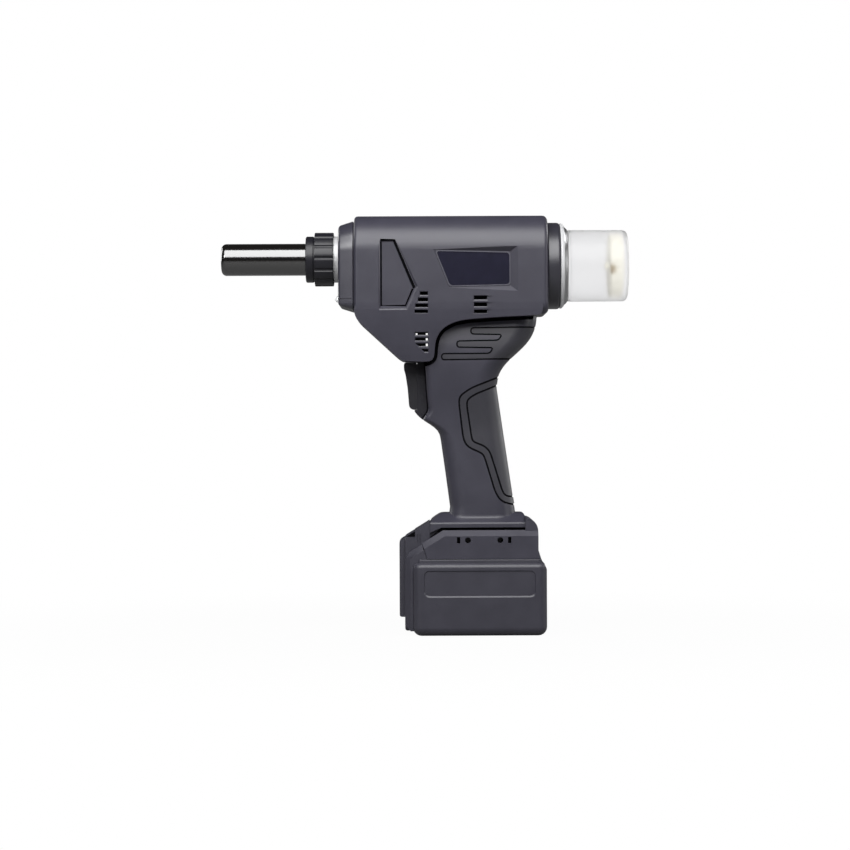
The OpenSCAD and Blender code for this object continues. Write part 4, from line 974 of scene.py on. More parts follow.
@dataclass
class Handle:
    """Outer form of the web and the grip."""

    half_low: float = 19.0
    swell: float = 6.4
    tuck: float = 2.6
    swell_span: Point = (150, 58)
    tuck_span: Point = (212, 30)
    face_span: Point = (128, 42)
    front_radii: Point = (12.0, 5.0)
    back_radius: float = 16.5
    skirt_top: float = 89.3
    skirt_high: float = 2.9
    skirt_out: float = 1.8
    skirt_levels: Sequence[float] = (86.6, 87.1, 88.1)
    level_step: float = 2.5
    front: Line = (
        (80, 16.8), (89, 17.9), (95, 18.7), (120, 15.4), (141, 12.5), (146, 11.8), (149.6, 11.0), (152.5, 9.4),
        (155, 6.8), (157.3, 3.6), (159, 0.9), (160.2, -0.9), (161.2, -1.3), (162.6, -0.9), (164.5, 0.6),
        (167, 2.0), (169.5, 2.5), (181, 1.5), (204, 0.2), (240, 0.2))
    back_line: tuple[Point, Point] = ((80, 69.3), (184, 54.1))
    back_curve: tuple[Point, Point, Point, Point] = ((54.0, 185), (54, 209.5), (84.4, 210), (84.4, 239))

    def back_table(self) -> list[Point]:
        """Returns (height, place) along the back edge."""
        table = list(self.back_line)
        ends = [Vector(p) for p in self.back_curve]
        for i in range(25):
            t = i / 24
            spot = (ends[0] * (1 - t) ** 3 + ends[1] * (3 * t * (1 - t) ** 2) + ends[2] * (3 * t * t * (1 - t))
                    + ends[3] * t ** 3)
            table.append((spot.y, spot.x))
        return table + [(244, 84.4)]

    def ring(self, height: float, inset: float, table: Line) -> list[Vector]:
        """One level section.

        Args:
            height: Its height.
            inset: How far it is drawn in from the outside.
            table: The back edge.

        Returns:
            Points round the section.
        """
        drop = min(0.97, max(0.0, (self.skirt_top - height) / self.skirt_high))
        flare = self.skirt_out * (1 - math.sqrt(1 - drop * drop)) if inset <= 0 else 0.0
        low = between(self.front, height) + inset - flare
        high = between(table, height) - inset + flare
        swell, tuck, face = (ease((height - start) / length)
                             for start, length in (self.swell_span, self.tuck_span, self.face_span))
        half = self.half_low + self.swell * swell - self.tuck * tuck - inset + flare
        grip_r, web_r = self.front_radii
        front_r = min(half - 0.5, grip_r * (1 - face) + web_r * face - min(inset, 3.0))
        back_r = min(half - 0.5, self.back_radius - min(inset, 6.0))
        line = rounded((low, high), (-half, half), (back_r, front_r, front_r, back_r), (10,) * 4)
        return [Vector((x, y, height)) for x, y in line]

    def form(self, inset: float = 0.0, low: float = 80.0, high: float = 244.0) -> Solid:
        """The handle between two heights.

        Args:
            inset: How far it is drawn in.
            low: Lowest height.
            high: Highest height.

        Returns:
            The solid.
        """
        table = self.back_table()
        even = [80 + self.level_step * i for i in range(66)]
        places = [*even, *(z for z, _ in self.front), *self.skirt_levels]
        levels = sorted({low, high} | {z for z in places if low < z < high})
        kept = [z for i, z in enumerate(levels) if i == 0 or z - levels[i - 1] > 0.3]
        return Solid.loft([self.ring(z, inset, table) for z in kept])


@dataclass
class Foot:
    """Outer form between the grip and the battery."""

    seat: float = 57.0
    rail: float = 78.3
    deck: float = 91.0
    rear: float = 84.0
    flare: float = 2.0
    slope: float = math.tan(math.radians(31.5))
    rail_half: float = 33.0
    deck_half: float = 25.0
    deck_ends: Point = (3.45, 74.4)
    under: float = 80.2
    middle: float = 43.6
    mark_reach: float = 19.0
    pin_reach: float = 12.0
    toe: Point = (-2.36, 68.8)

    def deck_form(self) -> Solid:
        """Returns the crowned deck under the grip."""
        x0, x1 = self.deck_ends
        top, half, crown = self.deck, self.deck_half, self.deck - 7.2
        side = [(x0, 60), (x1, 60), (x1, top), (12.2, top), (8.8, top - 2.0), (x0, top - 6)]
        front = [(-half, 60), (half, 60), (half, crown), (11.5, top - 0.7), (8, top), (-8, top),
                 (-11.5, top - 0.7), (-half, crown)]
        deck = Solid.through(fillet(side, 3.2, 4))
        return deck.common(Solid.prism(fillet(front, 1.4, 4), Plane.FRONT, -20, 100))

    def rails_form(self) -> Solid:
        """Returns the side frames as one block, with their chamfer."""
        run = (self.rail - self.toe[1]) / self.slope
        line = [(1.25, self.seat), (self.rear + self.flare, self.seat), (self.rear, self.seat + 6.3),
                (self.rear, self.rail), (run + self.toe[0], self.rail), self.toe]
        rails = Solid.prism(line, Plane.SIDE, -self.rail_half, self.rail_half)
        rails.bevel(lambda a, b: on_one_side(a, b) and min(a.z, b.z) > 68, 4.3, 1)
        return rails.cut(Solid.box((-4, self.deck_ends[0]), (-25.3, 25.3), (50, 95)))

    def block_form(self) -> Solid:
        """Returns the rear block that closes the side frames."""
        top, r, half = self.deck - 3.5, 10.0, self.rail_half - 3.6
        line = [(74.5, 65), (self.rear, 65)] + arc((self.rear - r, top - r), r, 0, 90, 8) + [(74.5, top)]
        block = Solid.prism(line, Plane.SIDE, -half, half)
        return block.bevel(lambda a, b: on_one_side(a, b) and min(a.z, b.z) > 70 and max(a.x, b.x) > 75, 6.0, 5)

    def channel(self, x0: float, x1: float, y0: float, y1: float) -> list[Solid]:
        """Returns the dark channel under each side of the deck, between two places along and across."""
        line = [(x0, 66), (x0 + 15, 74.5), (x1, 74.5), (x1, self.under), (12, self.under), (x0, self.under - 7)]
        return [Solid.prism(line, Plane.SIDE, *sorted((s * y0, s * y1))) for s in (-1, 1)]

    def marks(self, half: float, depths: Point, heights: Point) -> list[Solid]:
        """Returns the two upright marks on a side frame, with a half width, depths and heights."""
        places = (self.middle - self.mark_reach, self.middle + self.mark_reach)
        return [Solid.box((x - half, x + half), depths, heights) for x in places]

    def form(self) -> Solid:
        """Returns deck, side frames and rear block as one solid."""
        whole = self.rails_form().add(self.deck_form())
        step = Solid.box((0, self.deck_ends[0] + 1), (-18.4, 18.4), (50, 95))
        return whole.cut(step, *self.channel(-4, 74.5, 22.4, 28.6)).add(self.block_form())


@dataclass
class Housing:
    """Moulded housing: two halves, soft pads, recesses and openings."""

    barrel: Barrel
    belly: Belly
    handle: Handle
    foot: Foot
    motor_z: float = 253.2
    pocket: Line = ((-33.4, 296), (-21.9, 295.8), (-6.3, 259.6), (-13.6, 243.4), (-33.4, 243.2))
    pocket_floor: Line = ((-32.2, 293), (-23.1, 293), (-8.7, 258.1), (-14.1, 245.6), (-32.2, 245.6))
    pocket_ledge: Line = ((-33.8, 296.2), (-21.7, 296), (-4.8, 259.6), (-12.5, 242.0), (-34.0, 241.8))
    plate: Line = ((8.8, 285.9), (63.3, 284.6), (63.3, 261.2), (19.1, 260.3))
    plate_depths: Sequence[float] = (0.4, 2.4, 2.4, 0.4)
    plate_rim: Line = ((6.5, 287), (69.4, 289.6), (69.4, 256.1), (17.7, 258.8))
    pad_line: Line = (
        (74.4, 200.1), (53.6, 191.8), (34.6, 184.4), (26.2, 178.6), (25.4, 173.7), (28.7, 145.9),
        (32, 140.2), (42.9, 135.4), (44.7, 132.1), (52.6, 105.8), (57, 99.3), (65.3, 96.9), (81.4, 95))
    pad_inner: Line = (
        (74.4, 194.3), (53.6, 186.1), (37.2, 179.5), (31.9, 175.7), (31.3, 171.8), (35, 146.4),
        (36.3, 144), (44.7, 140.9), (48.7, 136.4), (58, 106.4), (60.5, 103.4), (65.3, 102.6), (81.4, 101.4))
    fingers: Line = (
        (94, 229.9), (34.6, 229.2), (34.6, 224.6), (57.8, 224.1), (55.2, 219.9), (24.1, 219.4),
        (24.1, 214.8), (51.1, 214.3), (48.7, 210.1), (12.7, 210), (12.7, 205.4), (89.1, 206.3))
    seam: Line = ((-4, 203.1), (1.5, 203.2), (5.1, 204.6), *WEB_CURVE, (81.6, 238.1))
    trigger_gap: Line = (
        (0.2, 203.6), (0.8, 190), (1.4, 180), (2.3, 169.8), (1.9, 167.2), (0.5, 164.8), (-0.9, 163.1),
        (-1.9, 162.2))
    side_vents: Sequence[Vent] = (
        (-3.2, 2.5, 253.3, 255.7), (-4.7, 2.5, 248.6, 251.1), (-6.8, 2.5, 244.3, 246.7),
        (-7.3, 2.5, 239.9, 242.3))
    rear_vents: Sequence[Vent] = (
        (36.8, 46.5, 249.8, 252.5), (36.8, 46.5, 244.7, 247.5), (36.8, 46.5, 239.6, 242.2))
    belly_vents: Sequence[tuple[Vent, float, Sequence[float]]] = (
        ((-7, 2.6, 223.7, 225.7), 0, (-6.8, 0.9)), ((-7, 2.6, 219.6, 221.6), 0, (0.9,)),
        ((-6.6, 2.6, 215.4, 217.4), 2.2, (0.9,)), ((-2.2, 2.6, 211.2, 213.1), 2.0, ()))
    screws: Line = (
        (80.96, 303.03), (79.94, 247.98), (61.99, 220.95), (46.03, 195.95), (47.96, 140.0), (52.0, 102.05),
        (78.96, 72.05), (-22.01, 219.05))
    pad_ends: Point = (84, 242)
    core_ends: Point = (82, 243)
    pad_bed: float = 2.1
    pad_under: float = 0.4
    band_rise: float = 0.3

    def build(self) -> None:
        """Makes the halves, the pads and the plates."""
        seam = Solid.through(band(fillet(self.seam, 3, 4, False), 5.0))
        handle = self.handle.form().cut(seam.cut(self.core(3.6)))
        whole = self.barrel.form().add(self.belly.form(), handle, self.foot.form())
        left = whole.half(0.3)
        for cuts in (self.rooms(), self.side_cuts(), self.pad_rooms()):
            left.cut(*cuts)
        right = left.mirrored()
        left.cut(*self.belly_cuts(0.0))
        right.cut(*[c.mirrored() for c in self.belly_cuts(1.9)], *self.screw_holes())
        for name, shell in (("housing_left", left), ("housing_right", right)):
            shell.piece(f"{name}_shell", HOUSING, "body", "housing_plastic", name, crease=25)
        # Painted shade: a near-black layer under the pads darkens their grooves.
        self.pad_shade_layer().piece("pad_groove_painted_shade", GROOVE_SHADE, "body", "soft_rubber")
        # Painted shade: near-black sheets darken the deep grooves, gaps and vents.
        self.shade_sheets().piece("deep_groove_painted_shade", GROOVE_SHADE, "body", "housing_plastic")
        self.grip_pad().piece("grip_pad_soft", RUBBER, "body", "soft_rubber", "grip_pad")
        self.web_pad().piece("web_pad_soft", RUBBER, "body", "soft_rubber", "web_pad")
        # Raised plate edges in lighter plastic: a painted highlight.
        self.plate_edges().piece("plate_edges", EDGE, "body", "housing_plastic")
        self.plates().piece("side_plates", FILM, "body", "plate_film", "name_plates")

    def rooms(self) -> list[Solid]:
        """Returns the rooms that hold the drive, switch, trigger and rail."""
        b, f = self.barrel, self.foot
        round_rooms = [
            Solid.prism(b.section(3, 6), Plane.FRONT, b.front - 1, b.rear - 3),
            Solid.rod(Plane.FRONT, (0, b.middle), 27.0, (b.rear - 4, b.rear + 1), 64),
            Solid.rod(Plane.FRONT, (0, self.motor_z), 18.6, (-14, 77)),
            self.handle.form(5.2, 76, 243),
        ]
        boxes = {
            "trigger": ((-8.5, 14.2), 10.35, (160.3, 204.4)),
            "switch": ((13.0, 37.5), 13.1, (168, 199)),
            "rail": ((3.0, 80.4), 22, (f.seat - 1, 77.5)),
            "controller": ((16.8, 80.4), 19.5, (f.seat, 84.5)),
            "rail mouth": ((-1, 4), 22.1, (f.seat - 1, 63.4)),
            "rail head": ((-1, 80.4), 26.8, (59.5, 63.4)),
            "latch tongue": ((-1, 4), 8.3, (59.5, 68.2)),
        }
        return round_rooms + [Solid.box(x, (-half, half), z) for x, half, z in boxes.values()]

    def slot(self, vent: Vent, half: float, depth: float, slant: float = 0.0) -> Solid:
        """An opening in the near side with a chamfered rim.

        Args:
            vent: Its front end, rear end, lower edge and upper edge.
            half: Half width of the housing there.
            depth: Depth of the opening.
            slant: How far back the lower front corner lies.

        Returns:
            The solid to cut.
        """
        (x0, x1, z0, z1), rim, lip, step = vent, 0.4, 0.9, 0.52
        near = [(x0 - rim + slant, z0 - lip), (x1 + rim, z0 - lip), (x1 + rim, z1 + rim), (x0 - rim, z1 + rim)]
        far = [(x0 + slant, z0), (x1, z0), (x1, z1), (x0, z1)]
        return Solid.stack(Plane.SIDE, (near, -half - 0.5), (near, -half), (far, step - half),
                           (far, depth - half))

    def side_cuts(self) -> list[Solid]:
        """Returns the recesses and openings of one side."""
        half = self.barrel.half
        cuts = [self.slot(vent, half, 5.7) for vent in self.side_vents]
        for vent in self.rear_vents:
            end = vent[1]
            ramp = [(end - 0.2, -half - 0.4), (end + 5.2, -half - 0.1), (end - 0.2, 1.3 - half)]
            cuts += [self.slot(vent, half, 5.7), Solid.prism(ramp, Plane.PLAN, vent[2], vent[3])]
        steps = ((self.pocket, self.pocket_floor, 2.6), (self.pocket_ledge, self.pocket, 0.8))
        for outer, inner, depth in steps:
            cuts.append(Solid.stack(Plane.SIDE, (outer, -half - 1), (outer, -half), (inner, depth - half)))
        cuts += self.pocket_grooves(0.4 - half, 4.4 - half)
        rim = [Plane.SIDE.place(p, -half) for p in self.plate_rim]
        outside = [p - Vector((0, 1, 0)) for p in rim]
        cuts.append(Solid.loft([outside, rim, self.plate_ring(1.035, 1.09, 0.35)]))
        middle, reach = self.foot.middle, self.foot.pin_reach
        holes = [Solid.rod(Plane.SIDE, (x, 71), 2.2, (-34, -25)) for x in (middle - reach, middle + reach)]
        return cuts + holes + self.foot.marks(1.25, (-34, -29.5), (68.7, 73.3))

    def pocket_grooves(self, near: float, far: float) -> list[Solid]:
        """Returns the two grooves round the pocket's floor, between two depths."""
        f = self.pocket_floor
        shifts = ((-0.4, 1.3), (0.6, 1.3), (1.3, 0.4))
        upper = [(x + dx, z + dz) for (x, z), (dx, dz) in zip(f, shifts)]
        return [Solid.prism(band([f[0], f[4], f[3], f[2]], 1.4), Plane.SIDE, near + 1.2, far),
                Solid.prism(band(upper, 2.0), Plane.SIDE, near, far)]

    def shade_sheets(self) -> Solid:
        """Returns painted shade: near-black sheets at the floors of the seam, pocket and channel grooves, the
        trigger gap, the vents and the marks, on both sides.
        """
        half = self.barrel.half
        seam = Solid.prism(band(fillet(self.seam, 3, 4, False), 4.9), Plane.SIDE, -40, -2)
        seam.common(self.handle.form(2.6, 84, 238.8)).cut(self.core(3.7), self.belly.form())
        near = [seam, Solid.prism(band(fillet(self.trigger_gap, 2, 4, False), 1.3), Plane.SIDE, -13, -10.1)]
        near += self.pocket_grooves(2.6 - half, 4.5 - half) + self.foot.channel(4, 74.3, 21.8, 22.8)[:1]
        for x0, x1, z0, z1 in (*self.side_vents, *self.rear_vents):
            near.append(Solid.box((x0 + 0.05, x1 - 0.05), (4.6 - half, 5.8 - half), (z0 + 0.05, z1 - 0.05)))
        near += self.foot.marks(1.2, (-30.2, -29.2), (68.8, 73.2))
        return near[0].add(*near[1:], *[n.mirrored() for n in near])

    def plate_ring(self, across: float, up: float, depth: float) -> list[Vector]:
        """The plate's outline on its slanted ground.

        Args:
            across: Its length, as a share of the plate's.
            up: Its height, as a share of the plate's.
            depth: How deep it lies under the plate.

        Returns:
            Its corners.
        """
        x0, z0 = sum(p[0] for p in self.plate) / 4, sum(p[1] for p in self.plate) / 4
        line = [(x0 + (x - x0) * across, z0 + (z - z0) * up) for x, z in self.plate]
        return [Plane.SIDE.place(p, -self.barrel.half + d + depth) for p, d in zip(line, self.plate_depths)]

    def plate_form(self, across: float, up: float, near: float, far: float) -> Solid:
        """Returns a slab like the plate with rounded corners, between two depths."""
        slab = Solid.loft([self.plate_ring(across, up, depth) for depth in (near, far)])
        return slab.bevel(lambda a, b: abs(a.y - b.y) > 0.5 and (a.xz - b.xz).length < 0.1, 2.2, 4)

    def belly_cuts(self, lift: float) -> list[Solid]:
        """The lowest vents and the small ducts behind their ends.

        Args:
            lift: How much higher they sit.

        Returns:
            The solids to cut.
        """
        cuts = []
        slope = -0.029 if lift else 0.029
        for (x0, x1, z0, z1), slant, ducts in self.belly_vents:
            half = self.belly.half_at(z0)
            cuts.append(self.slot((x0, x1, z0 + lift, z1 + lift), half, 8.0, slant))
            for x in ducts:
                duct = Solid.box((x, x + 1.5), (-34, 0.5), (z0 + 0.1, z1 - 0.1))
                cuts.append(duct.moved(lambda p: Vector((p.x, p.y, p.z + lift + slope * (p.y + half)))))
        return cuts

    def screw_holes(self) -> list[Solid]:
        """Returns the deep holes of the housing's screws, on the right."""
        return [Solid.rod(Plane.SIDE, place, 3.3, (7.9, 45), 32) for place in self.screws]

    def skin(self, inset: float) -> Solid:
        """Returns the handle where the pads lie, drawn in by an inset."""
        return self.handle.form(inset, *self.pad_ends)

    def core(self, inset: float) -> Solid:
        """Returns the handle under the pads, a little longer than they are."""
        return self.handle.form(inset, *self.core_ends)

    def pad_paths(self) -> list[tuple[Outline, float]]:
        """Returns the rounded outline of each pad and the width of the groove round it."""
        return [(fillet(self.pad_line, 4.5, 5, False), 1.3), (fillet(self.fingers, 2.2, 5, False), 1.1)]

    def pad_forms(self) -> list[Solid]:
        """Returns each pad with its groove, right through the tool."""
        return [Solid.through(path).add(Solid.through(band(path, width))) for path, width in self.pad_paths()]

    def pad_rooms(self) -> list[Solid]:
        """Returns the room of the two pads, with a groove round each."""
        return [form.cut(self.skin(self.pad_bed)) for form in self.pad_forms()]

    def pad_shade_layer(self) -> Solid:
        """Returns painted shade: a near-black layer under both pads that darkens their grooves."""
        grip, web = (self.skin(self.pad_under).common(form).cut(self.core(self.pad_bed))
                     for form in self.pad_forms())
        return grip.add(web)

    def grip_pad(self) -> Solid:
        """Returns the soft pad round the back of the grip, with its raised band."""
        path, width = self.pad_paths()[0]
        inner = fillet(self.pad_inner, 4.0, 5, False)
        raised = self.skin(-self.band_rise).common(Solid.through(path)).cut(Solid.through(inner))
        plain = self.skin(0.0).common(Solid.through(inner))
        pad = raised.add(plain).cut(self.core(self.pad_under))
        return pad.cut(*[Solid.through(band(line, width)) for line in (inner, path)])

    def web_pad(self) -> Solid:
        """Returns the soft pad behind the web, with its three fingers."""
        path, width = self.pad_paths()[1]
        pad = self.skin(0.0).common(Solid.through(path))
        return pad.cut(self.core(self.pad_under), Solid.through(band(path, width)))

    def plate_edges(self) -> Solid:
        """Returns the thin raised edges round both plates."""
        edge = self.plate_form(1.03, 1.065, -0.12, 0.7).cut(self.plate_form(1.0, 1.0, -1.0, 1.5))
        return edge.add(edge.mirrored())

    def plates(self) -> Solid:
        """Returns the bare plates in both side recesses."""
        plate = self.plate_form(0.995, 0.99, 0.05, 0.6)
        return plate.add(plate.mirrored())


@dataclass
class Nose:
    """Bezel, lamp, lock ring and nose tube."""

    barrel: Barrel
    axis: float = 282.0
    tip: float = -153.0
    collar: float = -89.25
    lock: float = -82.5
    flange: float = -68.25
    face: float = -64.4
    flutes: int = 14
    tube_r: float = 12.0
    tip_edge: float = 3.8
    lamp_z: float = 252.0
    lamp_tip: float = -67.5
    lamp_r: float = 2.6

    def build(self) -> None:
        """Makes the pieces ahead of the barrel."""
        self.bezel().piece("front_bezel_shell", BEZEL, "body", "housing_plastic", "front_bezel")
        self.lamp().piece("lamp_lens_dome", LENS, "body", "lamp_lens", "led_lamp")
        self.ring().piece("lock_ring_fluted", LOCK, "lock_ring", "black_metal", "lock_ring")
        self.tube().piece("nose_tube", NOSE, "body", "black_metal", "nose_housing")

    def bezel_form(self, extra: float) -> Solid:
        """Returns the bezel's outer form, drawn in by an extra inset."""
        profile = ((self.face, 9.4), (self.face + 0.15, 8.4), (self.face + 0.8, 7.4), (self.face + 1.8, 6.7),
                   (-54.2, 4.0), (-53.4, 3.95), (-53.1, 4.3), (-52.9, 4.8), (-52.2, 4.9))
        rings = [[Vector((x, y, z)) for y, z in self.barrel.section(inset + extra)] for x, inset in profile]
        return Solid.loft(rings)

    def bezel(self) -> Solid:
        """Returns the bezel with its holes and side seams."""
        seams = [Solid.box((-66, -53.9), (s * 30 - 10, s * 30 + 10), (250.7, 251.3)).cut(self.bezel_form(0.6))
                 for s in (-1, 1)]
        return self.bezel_form(0).cut(Solid.rod(Plane.FRONT, (0, self.axis), 17.75, (-67, -50), 72),
                                      Solid.rod(Plane.FRONT, (0, self.lamp_z), 2.7, (-67, -50), 32), *seams)

    def lamp(self) -> Solid:
        """Returns the lamp's domed lens."""
        r = self.lamp_r
        dome = arc((self.lamp_tip + r, 0), r, 180, 90, 6)
        return Solid.lathe(dome + [(-58.6, r), (-58.5, r - 0.15), (-58.5, 0)], self.lamp_z, 32)

    def ring(self) -> Solid:
        """Returns the lock ring with its flutes."""
        outer, groove, pitch = 20.25, 1.82, 360 / self.flutes
        spread = math.degrees(math.acos(1 - groove ** 2 * 0.75 / outer ** 2 / 1.02))
        line: Outline = []
        for i in range(self.flutes):
            a = (i + 0.5) * pitch + 90
            line += arc((0, self.axis), outer, a - pitch + spread, a - spread, 5)
            spot = math.radians(a)
            centre = (math.cos(spot) * (outer + groove / 2), self.axis + math.sin(spot) * (outer + groove / 2))
            line += arc(centre, groove, a + 180 + 54, a + 180 - 54, 6)
        grip = Solid.prism(line, Plane.FRONT, self.lock, self.flange - 0.05)
        for x in (self.lock, self.flange - 0.05):
            grip.bevel(edges_at(0, x), 0.5, 2)
        start, stop = self.collar, self.lock
        profile = [(start, 12.1), (start, 16.4), (start + 0.3, 17.0), (start + 1.0, 17.4),
                   (stop - 1.2, 17.4), (stop - 0.7, 16.9), (stop + 1, 16.9), (stop + 1, 12.1)]
        grip.cut(Solid.rod(Plane.FRONT, (0, self.axis), 12.1, (-84, -80), 72),
                 Solid.rod(Plane.FRONT, (0, self.axis), 16.8, (-80.5, -66), 72))
        return grip.add(Solid.lathe(profile, self.axis))

    def tube(self) -> Solid:
        """Returns the polished nose tube with its rounded tip."""
        edge, r = self.tip_edge, self.tube_r
        nose = arc((self.tip + edge, r - edge), edge, 180, 90, 9)
        bore = [(self.tip + 7, 6.5), (self.tip + 0.5, 6.5), (self.tip, 7.0)]
        seat = [(-80.2, r), (-80.2, 15.5), (-76.2, 15.5), (-76.2, 9.4), (self.tip + 7, 9.4)]
        return Solid.lathe(bore + nose + seat, self.axis, 128)


@dataclass
class Rear:
    """Cap, metal ring and container behind the barrel."""

    axis: float = 276.4
    mandrel_z: float = 282.0
    bore: float = 23.9
    start: float = 92.25
    ring_x: float = 102.0
    cup_x: float = 107.6
    end: float = 153.0

    def build(self) -> None:
        """Makes the pieces behind the barrel."""
        self.cap().piece("rear_cap_turned", CAP, "body", "cap_metal", "rear_cap")
        self.ring().piece("container_ring_turned", CHROME, "body", "ring_chrome", "container_ring")
        self.cup().piece("container_cup", FROSTED, "container", "frosted_plastic", "container")
        self.bumper().piece("container_foam", FOAM, "container", "cream_rubber", "container_bumper")

    def cap(self) -> Solid:
        """Returns the black cap with the hole of the mandrel tube."""
        edge = arc((self.ring_x - 2.4, 30.2), 2.4, 90, 0, 6)
        x0 = self.start + 0.05
        front = [(86.3, 0), (86.3, 29.2), (89.2, 29.2), (89.2, 26.6), (x0, 26.6), (x0, 31.8),
                 (self.start + 0.7, 32.6)]
        body = Solid.lathe(front + edge + [(self.ring_x, self.bore), (97.1, self.bore), (97.1, 0)], self.axis)
        return body.cut(Solid.rod(Plane.FRONT, (0, self.mandrel_z), 3.05, (80, 110), 40))

    def ring(self) -> Solid:
        """Returns the polished ring with its turned step."""
        x0, x1 = self.ring_x, self.cup_x
        profile = [(x0, self.bore), (x0, 31.9), (x0 + 0.4, 32.2), (x0 + 1.5, 31.9), (x0 + 2.9, 30.4),
                   (x0 + 3.3, 29.5), (x0 + 4.6, 28.4), (x1 - 0.3, 27.6), (x1, 27.0), (x1, self.bore)]
        return Solid.lathe(profile, self.axis, 128)

    def cup(self) -> Solid:
        """Returns the frosted container with its seal groove."""
        x0, edge, wall = self.cup_x + 0.3, 4.0, 3.3
        outer = arc((self.end - edge, 26.8 - edge), edge, 90, 0, 8)
        inner = arc((self.end - wall - 2.2, 26.2 - edge), 2.2, 0, 90, 6)
        rim = [(98.9, 21.6), (98.9, 23.3), (99.2, 23.6), (102.1, 23.6), (102.1, 22.0), (103.7, 22.0),
               (103.7, 23.6), (x0, 23.6), (x0, 26.5), (x0 + 0.4, 26.9)]
        end = [(self.end, 0), (self.end - wall, 0)]
        return Solid.lathe(rim + outer + end + inner + [(x0 + 2, 24.7), (x0 + 2, 21.6)], self.axis, 112)

    def bumper(self) -> Solid:
        """Returns the foam disc with its stud."""
        return Solid.lathe([(136.0, 0), (136.0, 1.7), (136.5, 2.2), (139.0, 2.2), (139.0, 22.6), (140.4, 24.0),
                            (148.2, 24.0), (149.4, 22.7), (149.4, 0)], self.axis, 72)


@dataclass
class Trigger:
    """Trigger body and its soft front."""

    half: float = 10.0
    stud_z: float = 183.53
    body: Line = (
        (-5.9, 203.7), (4.5, 203.7), (4.5, 164.5), (2.8, 161.6), (0.4, 160.6), (-1.6, 160.6), (-5.5, 164.0),
        (-8.0, 167.2), (-7.6, 168.2), (-5.9, 168.2))
    front: Line = (
        (-5.9, 203.7), (-14.9, 203.7), (-15.7, 202.6), (-15.7, 198.9), (-14.4, 194.2), (-12.9, 184.0),
        (-12.2, 175), (-11.9, 171.0), (-10.9, 169.2), (-8.6, 168.3), (-5.9, 168.3))

    def build(self) -> None:
        """Makes both pieces."""
        body = Solid.prism(fillet(self.body, 1.2, 3), Plane.SIDE, -self.half, self.half)
        body.bevel(on_one_side, 1.0, 3)
        body.add(Solid.rod(Plane.FRONT, (0, self.stud_z), 3.0, (3.0, 14.4), 32))
        body.piece("trigger_body", TRIGGER, "trigger", "housing_plastic", "trigger")
        pad = Solid.prism(fillet(self.front, 1.5, 4), Plane.SIDE, -self.half, self.half)
        pad.bevel(lambda a, b: on_one_side(a, b) and max(a.x, b.x) < -6.2, 2.6, 4)
        pad.piece("trigger_front", TRIGGER_RUBBER, "trigger", "soft_rubber", "trigger_pad")


